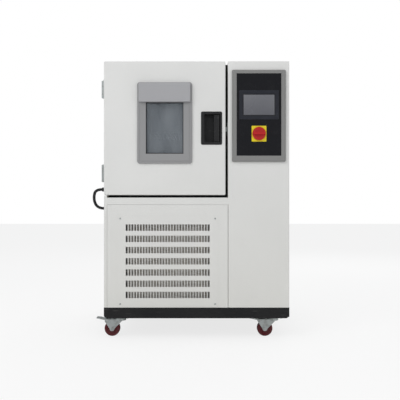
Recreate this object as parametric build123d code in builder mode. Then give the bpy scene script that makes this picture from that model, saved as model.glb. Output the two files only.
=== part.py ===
from build123d import *
import os
from math import acos, cos, radians, sin, tan

# Environmental test chamber, in millimetres: X to the right, Y to the back, Z up from the floor.
# The origin is on the floor under the middle of the whole outline.

os.makedirs("parts", exist_ok=True)

# Cabinet
width = 950
depth = 900
height = 1420
cabinet_x = 24  # the hose on the left side sets the cabinet this far right of the origin
column_width = 314
ledge_height = 722
strip_height = 36
plinth_height = 55
sheet = 2
bend_radius = 6
side_return = 16
seam = 0.9
machine_room_lip = 14

# Plinth
plinth_rail = 50
plinth_tray = 3
plinth_cut_width = 15
plinth_cut_height = 9
pad_margin = 5
pad_thickness = 6

# Casters
caster_height = 104
caster_inset = 76.5
caster_trail = 42.5
caster_plate_x = 105
caster_plate_y = 80
caster_plate_thickness = 4
caster_bolts_x = 80
caster_bolts_y = 60
caster_bolt_radius = 4
race_radius = 26
race_bottom = 93
crown_radius = 29
crown_bottom = 82
kingpin_radius = 5
wheel_radius = 40
wheel_width = 32
tread_edge = 4
hub_recess = 4
hub_boss_lip = 5
hub_radius = 27
axle_radius = 4
fork_leg = 2.5
wheel_side_gap = 2.5
brake_pivot_x = 31
brake_pivot_z = 84
brake_pin_radius = 3
pedal_reach = 50
pedal_rise = 11
pedal_width = 44
pedal_thickness = 4

# Door and its hinges
door_thickness = 70
gasket_thickness = 10
gasket_width = 16
gasket_inset = 20
door_gap = 13
door_edge_radius = 5
hinge_offset = 13
knuckle_radius = 9.5
hinge_pin_radius = 4
hinge_height = 88
hinge_leaf = 6
hinge_leaf_length = 40
lower_hinge_rise = 114
upper_hinge_drop = 132

# Chamber
chamber_side_wall = 136.5
chamber_end_wall = 142.5
chamber_depth = 350
duct_depth = 110
liner_sheet = 1.5
insulation_back = 70
port_radius = 25
port_wall = 2
port_drop = 100
port_y = -200
shelf_rise = -17
shelf_rod = 6
shelf_bar = 3.2
shelf_bar_count = 15
shelf_side_gap = 3
shelf_end_gap = 10
shelf_corner = 10

# Window
window_side_margin = 171
window_end_margin = 134.5
window_rise = 26.5
window_corner = 14
window_proud = 10
glass_side_border = 44
glass_lower_border = 50
glass_upper_border = 103
glass_thickness = 5
lamp_cover_side_border = 8.5
lamp_cover_height = 99
lamp_cover_depth = 16
lamp_radius = 8

# Handle and latch
cup_width = 108
cup_height = 170
cup_inset = 17.5
cup_flange = 3
cup_wall = 3
cup_depth = 39
tub_width = 82
tub_height = 144
tub_shift = 4
lever_length = 136
lever_reach = 24
lever_setback = 6
lever_radius = 5.5
lever_pin_radius = 3
bolt_thickness = 12
bolt_height = 24
bolt_reach = 9
bolt_length = 64
strike_thickness = 3

# Door conduit
hose_radius = 7.5
gland_length = 14
gland_radius = 13
door_gland_rise = 29
door_gland_y = -412
side_gland_drop = 56
side_gland_y = -352

# Grille
grille_side_margin = 53
grille_top_margin = 56.6
grille_base = 4.5
grille_border = 40
grille_sheet = 1.5
grille_lap = 20
slot_pitch_x = 14.45
slot_pitch_z = 57.4
slot_width = 10.1
slot_height = 33
screw_radius = 4.5
screw_shank = 2
screw_inset = 14
screw_head = 2
screw_tail = 4

# Control panel
bezel_width = 274
bezel_height = 469
bezel_drop = 46
bezel_depth = 16
bezel_taper = 5
bezel_corner = 6
plate_width = 228
plate_height = 420
plate_drop = 18.5
plate_pocket = 5
plate_thickness = 3
screen_width = 202
screen_height = 150
screen_drop = 86
screen_proud = 5
screen_body_depth = 45
screen_body_margin = 6
display_width = 166
display_height = 112
switch_drop = 308
switch_plate_width = 75
switch_plate_height = 80
switch_plate_thickness = 4
switch_body = 56
knob_radius = 34
knob_thickness = 12
knob_grip_width = 12
knob_grip_height = 18
knob_shaft_radius = 5
knob_shaft_hole_gap = 3
knob_edge = 2.5
knob_grip_inset = 4
knob_grip_corner = 4

# Running machinery
fan_shaft_radius = 6
fan_hub_radius = 18
circulation_fan_radius = 72
fan_rise = 95
motor_radius = 42
motor_length = 95
heater_ring_radius = 86
heater_tube_radius = 4
condenser_head_room = 133
condenser_depth = 60
condenser_setback = 40
condenser_fin_pitch = 10
condenser_fan_radius = 105
compressor_radius = 75
compressor_height = 190
compressor_x = 150
compressor_y = 60

fan_seat = 45
circulation_blade_chord = 38
circulation_blade_pitch = 28
condenser_blade_chord = 44
condenser_blade_pitch = 24
blades_per_fan = 5
blade_sheet = 2
shaft_hole_gap = 2
shaft_end_cover = 40
condenser_motor_radius = 36
condenser_motor_length = 70
condenser_motor_setback = 40
motor_strap = 24
motor_shaft_depth = 20
condenser_foot = 10
condenser_base = 20
condenser_tank_inset = 8
shroud_depth = 70
compressor_foot = 12
compressor_foot_lip = 10
pipe_radius = 5
pipe_bend = 25
pipe_rise = 50
fin_count = 24
evaporator_side_room = 25
evaporator_height = 150
evaporator_foot = 20
evaporator_core_depth = 40
evaporator_fin_depth = 60
probe_length = 60
probe_radius = 2.5
probe_collar_radius = 6
probe_collar = 5
probe_spacing = 30
probe_drop = 70

# Switchgear
plate_stand = 12
stand_radius = 6
board_width = 380
board_end_room = 89
board_y = 60
board_hole_inset = 20
gear_depth = 70
controller_inset = 40
controller_height = 110
controller_rise = 150
contactor_width = 50
contactor_height = 80
contactor_pitch = 56
contactor_drop = 10
contactors = 5
relay_width = 36
relay_height = 70
relay_pitch = 40
relay_drop = 160
relays = 7

# Vents and louvres
wrap_depth = 30
louvre_rows = 7
louvre_pitch = 16
louvre_length = 180
louvre_proud = 9
louvre_drop = 269
louvre_setback = 30
louvre_bulge = 0.45
vent_rows = 6
vent_columns = 2
vent_pitch_x = 250
vent_pitch_z = 30
vent_length = 200
vent_width = 10
vent_rise = 60
motor_vents = 8
motor_vent_radius = 8
port_lip = 10
plug_length = 55
plug_head = 9
plug_edge = 2
duct_mouth = 45
duct_slot_pitch = 34
duct_slot_length = 36
duct_slot_width = 14
duct_slot_drop = 32
duct_hole_pitch = 26
duct_hole_radius = 7
duct_hole_rise = 30

# Shelf rails
upright_width = 18
upright_sheet = 3
upright_setback = 50
upright_hole_pitch = 25
upright_hole_width = 8
upright_hole_height = 10
rail_reach = 14
rail_height = 14
rail_overhang = 25

# Rear fittings
drain_radius = 8
drain_length = 40
drain_flange = 4
drain_height = 230
drain_wall = 2
drain_flange_lip = 6
cable_radius = 7
cable_inset = 120
gland_thread = 10

# Clearances
running_gap = 0.05
loose_gap = 0.3

# Planes and centres of the cabinet
left = cabinet_x - width / 2
right = cabinet_x + width / 2
front = -depth / 2
rear = depth / 2
floor = caster_height + plinth_height
column_left = right - column_width
column_x = (column_left + right) / 2
strip_bottom = ledge_height - strip_height

# Planes and centres of the door and of the chamber behind it
door_left = left
door_right = column_left - door_gap
door_bottom = ledge_height + door_gap
door_back = front + door_thickness
sealing_face = door_back + gasket_thickness
chamber_x = (door_left + door_right) / 2
chamber_z = (door_bottom + height) / 2
liner_front = sealing_face + 1.5 * sheet
baffle_y = liner_front + chamber_depth
liner_back = baffle_y + duct_depth
foam_back = liner_back + liner_sheet + insulation_back
hinge_x = left - hinge_offset
hinge_y = (door_back + sealing_face) / 2
hinge_levels = (door_bottom + lower_hinge_rise, height - upper_hinge_drop)

# Sizes that follow from the door and from the panels
door_width = door_right - door_left
door_height = height - door_bottom
chamber_width = door_width - 2 * chamber_side_wall
chamber_height = door_height - 2 * chamber_end_wall
window_width = door_width - 2 * window_side_margin
window_height = door_height - 2 * window_end_margin
glass_width = window_width - 2 * glass_side_border
glass_height = window_height - glass_lower_border - glass_upper_border
lamp_cover_width = window_width - 2 * lamp_cover_side_border
panel_left = left + side_return + seam
panel_right = column_left - seam
panel_top = strip_bottom - seam
grille_width = panel_right - panel_left + 2 * seam - 2 * grille_side_margin
grille_height = panel_top - floor - grille_base - grille_top_margin
slot_columns = int((grille_width - 2 * grille_border + slot_pitch_x - slot_width) // slot_pitch_x)
slot_rows = int((grille_height - 2 * grille_border + slot_pitch_z - slot_height) // slot_pitch_z)
condenser_height = ledge_height - floor - condenser_head_room
condenser_width = grille_width - 2 * grille_border

# Centres of the fittings
window_z = chamber_z + window_rise
glass_z = window_z - window_height / 2 + glass_lower_border + glass_height / 2
lamp_cover_z = glass_z + glass_height / 2 + lamp_cover_height / 2
lamp_cover_y = front - window_proud
cup_x = door_right - cup_inset - cup_width / 2
tub_x = cup_x + tub_shift
lever_x = tub_x + tub_width / 2 - lever_radius - 3
lever_y = front + lever_setback
bolt_y = front + cup_depth + cup_wall + bolt_thickness / 2 + 3
door_gland_z = door_bottom + door_gland_rise
side_gland_z = ledge_height - side_gland_drop
port_z = chamber_z - port_drop
shelf_z = chamber_z + shelf_rise
fan_z = chamber_z + fan_rise
grille_x = left + side_return + (column_left - left - side_return) / 2 + 1
grille_z = floor + grille_base + grille_height / 2
bezel_z = height - bezel_drop - bezel_height / 2
plate_z = height - bezel_drop - plate_drop - plate_height / 2
plate_y = front - bezel_depth + plate_pocket
screen_z = height - bezel_drop - plate_drop - screen_drop - screen_height / 2
switch_z = height - bezel_drop - plate_drop - switch_drop
switch_y = plate_y - plate_thickness
condenser_x = grille_x
condenser_y = front + condenser_setback
condenser_z = floor + condenser_height / 2 + condenser_foot
cable_x = right - cable_inset
kingpins_x = width - 2 * caster_inset
kingpins_y = depth - 2 * caster_inset


def level(z):
    """The horizontal plane at height z."""
    return Plane.XY.offset(z)


def facing(y):
    """The upright plane at depth y, seen from the front; extruding by a positive amount comes forward."""
    return Plane.XZ.offset(-y)


def across(x):
    """The upright plane at x, with Y and Z as its own axes; extruding by a positive amount goes right."""
    return Plane.YZ.offset(x)


def bent_section(points, bottom, thickness=sheet, radius=bend_radius):
    """Section of a sheet bent along the plan outline of its outer face, lying on the right of its direction."""
    with BuildSketch(level(bottom)) as section:
        with BuildLine():
            outer_face = FilletPolyline(*points, radius=radius)
            offset(outer_face, amount=thickness, side=Side.RIGHT)
        make_face()
    return section.sketch


def block(x, z, face_y, size, block_depth, corner, edge):
    """A block with rounded corners whose front face lies at face_y and has rounded edges."""
    with BuildPart() as rounded:
        with BuildSketch(facing(face_y)):
            with Locations((x, z)):
                RectangleRounded(*size, corner)
        extrude(amount=-block_depth)
        fillet(rounded.faces().sort_by(Axis.Y)[0].edges(), edge)
    return rounded.part


def keep(piece, name):
    piece.label = name
    export_step(piece, f"parts/{name}.step")


# Plinth: a welded frame with a tray on top and a pad for each caster
with BuildPart() as plinth:
    with BuildSketch(level(caster_height)):
        with Locations((cabinet_x, 0)):
            Rectangle(width, depth)
    extrude(amount=plinth_height)
    underside = plinth.faces().sort_by(Axis.Z)[0]
    lower_ends = plinth.edges().filter_by(Axis.Y).group_by(Axis.Z)[0]
    chamfer(lower_ends, length=plinth_cut_width, length2=plinth_cut_height, reference=underside)
    bay_width = (width - 4 * plinth_rail) / 3
    with BuildSketch(level(caster_height)):
        with Locations((cabinet_x, 0)):
            with GridLocations(bay_width + plinth_rail, 0, 3, 1):
                Rectangle(bay_width, depth - 2 * plinth_rail)
    extrude(amount=plinth_height - plinth_tray, mode=Mode.SUBTRACT)
    with BuildSketch(level(caster_height)):
        with Locations((cabinet_x, 0)):
            with GridLocations(kingpins_x, kingpins_y, 2, 2):
                Rectangle(caster_plate_x + 2 * pad_margin, caster_plate_y + 2 * pad_margin)
    extrude(amount=pad_thickness)
    with BuildSketch(level(caster_height)):
        with Locations((cabinet_x, 0)):
            with GridLocations(kingpins_x, kingpins_y, 2, 2):
                with GridLocations(caster_bolts_x, caster_bolts_y, 2, 2):
                    Circle(caster_bolt_radius)
    extrude(amount=pad_thickness, mode=Mode.SUBTRACT)
keep(plinth.part, "plinth")


# Outer panels
flange_left = left + side_return
step_top = door_bottom - sheet

with BuildPart() as left_side_panel:
    lower_outline = [(flange_left, front), (left, front), (left, rear), (flange_left, rear)]
    upper_outline = [(flange_left, sealing_face), (left, sealing_face), (left, rear), (flange_left, rear)]
    extrude(bent_section(lower_outline, floor), amount=step_top - floor)
    extrude(bent_section(upper_outline, step_top), amount=height - step_top)
    with BuildSketch(level(step_top - sheet)):
        with Locations(((left + flange_left) / 2 + sheet / 2, (front + sealing_face) / 2 + sheet)):
            Rectangle(side_return - sheet, sealing_face - front)
    extrude(amount=sheet)
    with BuildSketch(across(left)):
        with Locations((port_y, port_z)):
            Circle(port_radius + port_wall + loose_gap)
    extrude(amount=sheet, mode=Mode.SUBTRACT)
keep(left_side_panel.part, "left_side_panel")

louvre_z = height - louvre_drop
louvre_y = front + wrap_depth + louvre_setback + louvre_length / 2

with BuildPart() as right_side_panel:
    side_outline = [(right - side_return, rear), (right, rear), (right, front + wrap_depth)]
    extrude(bent_section(side_outline, floor), amount=height - floor)
    for row in range(louvre_rows):
        louvre_top = louvre_z + (row - (louvre_rows - 1) / 2) * louvre_pitch
        with BuildSketch(Plane.XZ.offset(-louvre_y)):
            Polygon(
                (right - sheet / 2, louvre_top + louvre_pitch * louvre_bulge),
                (right + louvre_proud, louvre_top),
                (right - sheet / 2, louvre_top),
                align=None,
            )
        extrude(amount=louvre_length / 2, both=True)
keep(right_side_panel.part, "right_side_panel")

with BuildPart() as rear_panel:
    with BuildSketch(facing(rear - sheet)):
        with Locations((cabinet_x, (floor + height) / 2)):
            Rectangle(width - 2 * bend_radius - 2 * loose_gap, height - floor)
        with Locations((cabinet_x, (floor + ledge_height) / 2 + vent_rise)):
            with GridLocations(vent_pitch_x, vent_pitch_z, vent_columns, vent_rows):
                SlotOverall(vent_length, vent_width, mode=Mode.SUBTRACT)
        with Locations((chamber_x, drain_height)):
            Circle(drain_radius + loose_gap, mode=Mode.SUBTRACT)
        with Locations((cable_x, drain_height)):
            Circle(gland_thread, mode=Mode.SUBTRACT)
        with Locations((chamber_x, fan_z)):
            with PolarLocations(motor_radius, motor_vents):
                Circle(motor_vent_radius, mode=Mode.SUBTRACT)
    extrude(amount=sheet)
keep(rear_panel.part, "rear_panel")

with BuildPart() as top_panel:
    with BuildSketch(level(height - sheet)) as top_outline:
        Polygon(
            (left + sheet, sealing_face + sheet),
            (column_left + sheet, sealing_face + sheet),
            (column_left + sheet, front + sheet),
            (right - sheet, front + sheet),
            (right - sheet, rear - 2 * sheet),
            (left + sheet, rear - 2 * sheet),
            align=None,
        )
        inner_corner = Vector(column_left + sheet, sealing_face + sheet, height - sheet)
        fillet(top_outline.vertices().sort_by_distance(inner_corner)[1:], bend_radius)
    extrude(amount=sheet)
keep(top_panel.part, "top_panel")


# Column panel: the painted front of the column and the strip under the door, bent from one sheet
screen_hole_width = screen_width - 2 * screen_body_margin
screen_hole_height = screen_height - 2 * screen_body_margin

with BuildPart() as column_front_panel:
    column_outline = [
        (right, front + wrap_depth - seam),
        (right, front),
        (column_left, front),
        (column_left, sealing_face),
    ]
    extrude(bent_section(column_outline, floor), amount=height - floor)
    strip_length = column_left - flange_left + bend_radius
    with BuildSketch(facing(front)):
        with Locations((flange_left + strip_length / 2, ledge_height - strip_height / 2)):
            Rectangle(strip_length, strip_height)
    extrude(amount=-sheet)
    with BuildSketch(level(ledge_height - sheet)):
        with Locations(((flange_left + column_left) / 2, (front + sealing_face) / 2)):
            Rectangle(column_left - flange_left, sealing_face - front)
    extrude(amount=sheet)
    with BuildSketch(facing(front)):
        with Locations((column_x, screen_z)):
            Rectangle(screen_hole_width + 2 * loose_gap, screen_hole_height + 2 * loose_gap)
        with Locations((column_x, switch_z)):
            Circle(knob_shaft_radius + knob_shaft_hole_gap)
    extrude(amount=-sheet, mode=Mode.SUBTRACT)
keep(column_front_panel.part, "column_front_panel")


# Lower front panel with the slotted grille screwed over its opening
panel_bottom = floor
screw_spacing_x = grille_width - 2 * screw_inset
screw_spacing_z = grille_height - 2 * screw_inset

with BuildPart() as lower_front_panel:
    with BuildSketch(facing(front)):
        with Locations(((panel_left + panel_right) / 2, (panel_bottom + panel_top) / 2)):
            Rectangle(panel_right - panel_left, panel_top - panel_bottom)
        with Locations((grille_x, grille_z)):
            Rectangle(grille_width - 2 * grille_lap, grille_height - 2 * grille_lap, mode=Mode.SUBTRACT)
            with GridLocations(screw_spacing_x, screw_spacing_z, 2, 2):
                Circle(screw_shank + loose_gap, mode=Mode.SUBTRACT)
    extrude(amount=-sheet)
    with BuildSketch(facing(front + sheet)):
        with Locations(((panel_left + panel_right) / 2, panel_top - sheet / 2)):
            Rectangle(panel_right - panel_left, sheet)
    extrude(amount=-machine_room_lip)
keep(lower_front_panel.part, "lower_front_panel")

with BuildPart() as grille_panel:
    with BuildSketch(facing(front)):
        with Locations((grille_x, grille_z)):
            RectangleRounded(grille_width, grille_height, 3)
            with GridLocations(slot_pitch_x, slot_pitch_z, slot_columns, slot_rows):
                Rectangle(slot_width, slot_height, mode=Mode.SUBTRACT)
            with GridLocations(screw_spacing_x, screw_spacing_z, 2, 2):
                Circle(screw_shank + loose_gap, mode=Mode.SUBTRACT)
    extrude(amount=grille_sheet)
keep(grille_panel.part, "grille_panel")

with BuildPart() as panel_screws:
    with BuildSketch(facing(front - grille_sheet)):
        with Locations((grille_x, grille_z)):
            with GridLocations(screw_spacing_x, screw_spacing_z, 2, 2):
                Circle(screw_radius)
    extrude(amount=screw_head)
    chamfer(panel_screws.faces().group_by(Axis.Y)[0].edges(), screw_head / 2)
    with BuildSketch(facing(front - grille_sheet)):
        with Locations((grille_x, grille_z)):
            with GridLocations(screw_spacing_x, screw_spacing_z, 2, 2):
                Circle(screw_shank)
    extrude(amount=-(grille_sheet + sheet + screw_tail))
keep(panel_screws.part, "panel_screws")


# Inner frame: the sealing face round the chamber mouth, the machine room ceiling and the column wall
with BuildPart() as inner_frame:
    with BuildSketch(facing(sealing_face)):
        with Locations(((flange_left + column_left) / 2, (ledge_height + height - sheet) / 2)):
            Rectangle(column_left - flange_left, height - sheet - ledge_height)
        with Locations((chamber_x, chamber_z)):
            Rectangle(chamber_width, chamber_height, mode=Mode.SUBTRACT)
    extrude(amount=-1.5 * sheet)
    with BuildSketch(facing(sealing_face)):
        Polygon(
            (left + sheet, ledge_height - sheet),
            (column_left + sheet, ledge_height - sheet),
            (column_left + sheet, height - sheet),
            (column_left, height - sheet),
            (column_left, ledge_height),
            (left + sheet, ledge_height),
            align=None,
        )
    extrude(amount=-(rear - sheet - bend_radius - sealing_face))
keep(inner_frame.part, "inner_frame")


# Chamber: liner, insulation, air duct and fittings
liner_width = chamber_width + 2 * liner_sheet
liner_height = chamber_height + 2 * liner_sheet
shaft_hole = fan_shaft_radius + shaft_hole_gap

with BuildPart() as chamber_liner:
    with BuildSketch(facing(liner_front)):
        with Locations((chamber_x, chamber_z)):
            Rectangle(liner_width, liner_height)
    extrude(amount=-(liner_back + liner_sheet - liner_front))
    with BuildSketch(facing(liner_front)):
        with Locations((chamber_x, chamber_z)):
            Rectangle(chamber_width, chamber_height)
    extrude(amount=-(liner_back - liner_front), mode=Mode.SUBTRACT)
    with BuildSketch(across(chamber_x - liner_width / 2)):
        with Locations((port_y, port_z)):
            Circle(port_radius)
    extrude(amount=liner_sheet, mode=Mode.SUBTRACT)
    with BuildSketch(facing(liner_back)):
        with Locations((chamber_x, fan_z)):
            Circle(shaft_hole)
    extrude(amount=-liner_sheet, mode=Mode.SUBTRACT)
keep(chamber_liner.part, "chamber_liner")

with BuildPart() as chamber_insulation:
    with BuildSketch(facing(liner_front)):
        with Locations(((left + sheet + column_left) / 2, (ledge_height + height - sheet) / 2)):
            Rectangle(column_left - left - sheet, height - sheet - ledge_height)
    extrude(amount=-(foam_back - liner_front))
    bend_corner = chamber_insulation.faces().sort_by(Axis.Y)[0].edges().filter_by(Axis.Z).sort_by(Axis.X)[0]
    chamfer(bend_corner, bend_radius)
    with BuildSketch(facing(liner_front)):
        with Locations((chamber_x, chamber_z)):
            Rectangle(liner_width, liner_height)
    extrude(amount=-(liner_back + liner_sheet - liner_front), mode=Mode.SUBTRACT)
    with BuildSketch(across(left + sheet)):
        with Locations((port_y, port_z)):
            Circle(port_radius + port_wall)
    extrude(amount=chamber_x - liner_width / 2 - left - sheet, mode=Mode.SUBTRACT)
    with BuildSketch(facing(liner_back)):
        with Locations((chamber_x, fan_z)):
            Circle(shaft_hole)
    extrude(amount=-(foam_back - liner_back), mode=Mode.SUBTRACT)
keep(chamber_insulation.part, "chamber_insulation")

with BuildPart() as cable_port_sleeve:
    with BuildSketch(across(left)):
        with Locations((port_y, port_z)):
            Circle(port_radius + port_wall + port_lip)
    extrude(amount=-port_wall)
    with BuildSketch(across(left)):
        with Locations((port_y, port_z)):
            Circle(port_radius + port_wall)
    extrude(amount=chamber_x - liner_width / 2 - left)
    with BuildSketch(across(left - port_wall)):
        with Locations((port_y, port_z)):
            Circle(port_radius)
    extrude(amount=chamber_x - left, mode=Mode.SUBTRACT)
keep(cable_port_sleeve.part, "cable_port_sleeve")

with BuildPart() as port_plug:
    with BuildSketch(across(left - port_wall - loose_gap)):
        with Locations((port_y, port_z)):
            Circle(port_radius + port_wall + port_lip / 2)
    extrude(amount=-plug_head)
    chamfer(port_plug.faces().sort_by(Axis.X)[0].edges(), plug_edge)
    with BuildSketch(across(left - port_wall - loose_gap)):
        with Locations((port_y, port_z)):
            Circle(port_radius - loose_gap)
    extrude(amount=plug_length)
    chamfer(port_plug.faces().sort_by(Axis.X)[-1].edges(), plug_edge)
keep(port_plug.part, "port_plug")

duct_slots = int((chamber_width - duct_slot_pitch) // duct_slot_pitch)
duct_holes = int((chamber_width - duct_hole_pitch) // duct_hole_pitch)
with BuildPart() as air_duct_baffle:
    baffle_left = chamber_x - chamber_width / 2
    baffle_right = chamber_x + chamber_width / 2
    baffle_bottom = chamber_z - chamber_height / 2 + duct_mouth
    baffle_top = chamber_z + chamber_height / 2
    baffle_outline = [
        (baffle_right, liner_back),
        (baffle_right, baffle_y),
        (baffle_left, baffle_y),
        (baffle_left, liner_back),
    ]
    baffle_section = bent_section(baffle_outline, baffle_bottom, liner_sheet, 2 * liner_sheet)
    extrude(baffle_section, amount=baffle_top - baffle_bottom)
    with BuildSketch(facing(baffle_y)):
        with Locations((chamber_x, baffle_top - duct_slot_drop)):
            with GridLocations(duct_slot_pitch, 0, duct_slots, 1):
                SlotOverall(duct_slot_length, duct_slot_width, rotation=90)
        with Locations((chamber_x, baffle_bottom + duct_hole_rise)):
            with GridLocations(duct_hole_pitch, 0, duct_holes, 1):
                Circle(duct_hole_radius)
    extrude(amount=-liner_sheet, mode=Mode.SUBTRACT)
keep(air_duct_baffle.part, "air_duct_baffle")

upright_height = chamber_height - 2 * duct_mouth
upright_holes = int((upright_height - upright_hole_height) // upright_hole_pitch)
upright_depths = (liner_front + upright_setback, baffle_y - upright_setback)
rail_top = shelf_z - shelf_rod / 2
with BuildPart() as shelf_rails:
    for side in (-1, 1):
        wall_x = chamber_x + side * chamber_width / 2
        with BuildSketch(across(wall_x)):
            for upright_y in upright_depths:
                with Locations((upright_y, chamber_z)):
                    Rectangle(upright_width, upright_height)
                    with GridLocations(0, upright_hole_pitch, 1, upright_holes):
                        Rectangle(upright_hole_width, upright_hole_height, mode=Mode.SUBTRACT)
        extrude(amount=-side * upright_sheet)
        rail_inner = wall_x - side * (upright_sheet + rail_reach)
        with BuildSketch(facing(upright_depths[0] - rail_overhang)):
            Polygon(
                (wall_x - side * upright_sheet, rail_top - rail_height),
                (wall_x - side * upright_sheet, rail_top),
                (rail_inner, rail_top),
                (rail_inner, rail_top - sheet),
                (wall_x - side * (upright_sheet + sheet), rail_top - sheet),
                (wall_x - side * (upright_sheet + sheet), rail_top - rail_height),
                align=None,
            )
        extrude(amount=-(upright_depths[1] - upright_depths[0] + 2 * rail_overhang))
keep(shelf_rails.part, "shelf_rails")

shelf_width = chamber_width - 2 * (upright_sheet + shelf_side_gap)
shelf_depth = chamber_depth - 2 * shelf_end_gap
shelf_y = liner_front + chamber_depth / 2
with BuildPart() as wire_shelf:
    with BuildSketch(level(shelf_z - shelf_rod / 2)):
        with Locations((chamber_x, shelf_y)):
            RectangleRounded(shelf_width, shelf_depth, shelf_corner)
            inner_corner_radius = shelf_corner - shelf_rod + 1
            inner_size = (shelf_width - 2 * shelf_rod, shelf_depth - 2 * shelf_rod)
            RectangleRounded(*inner_size, inner_corner_radius, mode=Mode.SUBTRACT)
    extrude(amount=shelf_rod)
    chamfer(wire_shelf.faces().filter_by(Axis.Z).edges(), shelf_rod / 4)
    with BuildSketch(facing(shelf_y - shelf_depth / 2 + shelf_rod / 2)):
        with Locations((chamber_x, shelf_z)):
            with GridLocations(shelf_width / (shelf_bar_count + 1), 0, shelf_bar_count, 1):
                Circle(shelf_bar / 2)
    extrude(amount=-(shelf_depth - shelf_rod))
keep(wire_shelf.part, "wire_shelf")

with BuildPart() as heater_coil:
    heater_y = baffle_y + fan_seat
    with BuildSketch(level(fan_z)):
        with Locations((chamber_x + heater_ring_radius, heater_y)):
            RegularPolygon(heater_tube_radius, 8)
    revolve(axis=Axis((chamber_x, heater_y, fan_z), (0, 1, 0)), revolution_arc=360)
    with BuildSketch(facing(heater_y)):
        with Locations((chamber_x, fan_z)):
            with GridLocations(2 * heater_ring_radius, 0, 2, 1):
                Circle(heater_tube_radius - 1)
    extrude(amount=-(liner_back - heater_y))
keep(heater_coil.part, "heater_coil")

evaporator_width = chamber_width - 2 * evaporator_side_room
with BuildPart() as evaporator:
    evaporator_z = chamber_z - chamber_height / 2 + evaporator_foot + evaporator_height / 2
    with BuildSketch(facing(liner_back - evaporator_core_depth / 2)):
        with Locations((chamber_x, evaporator_z)):
            Rectangle(evaporator_width, evaporator_height - 2 * condenser_tank_inset)
    extrude(amount=evaporator_core_depth)
    with BuildSketch(facing(liner_back - evaporator_core_depth / 4)):
        with Locations((chamber_x, evaporator_z)):
            with GridLocations(evaporator_width / fin_count, 0, fin_count, 1):
                Rectangle(sheet, evaporator_height)
    extrude(amount=evaporator_fin_depth)
    with BuildSketch(facing(liner_back)):
        with Locations((chamber_x, evaporator_z)):
            with GridLocations(evaporator_width - evaporator_width / fin_count, 0, 2, 1):
                Rectangle(sheet, evaporator_height)
    extrude(amount=evaporator_core_depth / 2)
keep(evaporator.part, "evaporator")

with BuildPart() as temperature_sensors:
    with BuildSketch(facing(baffle_y)):
        with Locations((chamber_x, baffle_top - probe_drop)):
            with GridLocations(probe_spacing, 0, 2, 1):
                Circle(probe_collar_radius)
    extrude(amount=probe_collar)
    with BuildSketch(facing(baffle_y)):
        with Locations((chamber_x, baffle_top - probe_drop)):
            with GridLocations(probe_spacing, 0, 2, 1):
                Circle(probe_radius)
    extrude(amount=probe_length)
keep(temperature_sensors.part, "temperature_sensors")


# Fans: hub, shaft along Y and pitched blades
def blade_wheel(centre_x, centre_y, centre_z, radius, blades, chord, pitch):
    """Blades and hub of an axial fan that turns about the Y direction."""
    with BuildPart() as bladed:
        with BuildSketch(facing(centre_y - chord / 3)):
            with Locations((centre_x, centre_z)):
                Circle(fan_hub_radius)
        extrude(amount=-2 * chord / 3)
        middle = (fan_hub_radius + radius) / 2
        for blade in range(blades):
            turn = radians(360 / blades * blade)
            outward = Vector(cos(turn), 0, sin(turn))
            tangent = Vector(-sin(turn), 0, cos(turn))
            lean = radians(pitch)
            face_normal = Vector(0, 1, 0) * cos(lean) + tangent * sin(lean)
            seat = Vector(centre_x, centre_y, centre_z) + outward * middle
            with BuildSketch(Plane(origin=seat, x_dir=outward, z_dir=face_normal)):
                with Locations((-blade_sheet, 0)):
                    RectangleRounded(radius - fan_hub_radius, chord, chord / 4)
            extrude(amount=blade_sheet / 2, both=True)
    return bladed.part


circulation_y = baffle_y + fan_seat
with BuildPart() as circulation_fan:
    circulation_blades = (blades_per_fan, circulation_blade_chord, circulation_blade_pitch)
    add(blade_wheel(chamber_x, circulation_y, fan_z, circulation_fan_radius, *circulation_blades))
    with BuildSketch(facing(circulation_y)):
        with Locations((chamber_x, fan_z)):
            Circle(fan_shaft_radius)
    extrude(amount=-(foam_back + shaft_end_cover - circulation_y))
keep(circulation_fan.part, "circulation_fan")

condenser_fan_y = condenser_y + condenser_depth + fan_seat
motor_face = condenser_fan_y + condenser_motor_setback
with BuildPart() as condenser_fan:
    condenser_blades = (blades_per_fan, condenser_blade_chord, condenser_blade_pitch)
    add(blade_wheel(condenser_x, condenser_fan_y, condenser_z, condenser_fan_radius, *condenser_blades))
    with BuildSketch(facing(condenser_fan_y)):
        with Locations((condenser_x, condenser_z)):
            Circle(fan_shaft_radius)
    extrude(amount=-(motor_face + motor_shaft_depth - condenser_fan_y))
keep(condenser_fan.part, "condenser_fan")

with BuildPart() as fan_motors:
    with BuildSketch(facing(foam_back)):
        with Locations((chamber_x, fan_z)):
            Circle(motor_radius)
    extrude(amount=-motor_length)
    with BuildSketch(facing(foam_back)):
        with Locations((chamber_x, fan_z)):
            Circle(fan_shaft_radius + running_gap)
    extrude(amount=-(shaft_end_cover + 1), mode=Mode.SUBTRACT)
    with BuildSketch(facing(motor_face)):
        with Locations((condenser_x, condenser_z)):
            Circle(condenser_motor_radius)
    extrude(amount=-condenser_motor_length)
    with BuildSketch(facing(motor_face + motor_shaft_depth)):
        with Locations((condenser_x, condenser_z)):
            Rectangle(condenser_width, motor_strap)
    extrude(amount=-sheet)
    for side in (-1, 1):
        with BuildSketch(facing(condenser_y + condenser_depth + shroud_depth)):
            with Locations((condenser_x + side * (condenser_width - sheet) / 2, condenser_z)):
                Rectangle(sheet, motor_strap)
        shroud_back = condenser_y + condenser_depth + shroud_depth
        extrude(amount=-(motor_face + motor_shaft_depth + sheet - shroud_back))
    with BuildSketch(facing(motor_face)):
        with Locations((condenser_x, condenser_z)):
            Circle(fan_shaft_radius + running_gap)
    extrude(amount=-(motor_shaft_depth + 1), mode=Mode.SUBTRACT)
keep(fan_motors.part, "fan_motors")


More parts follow.
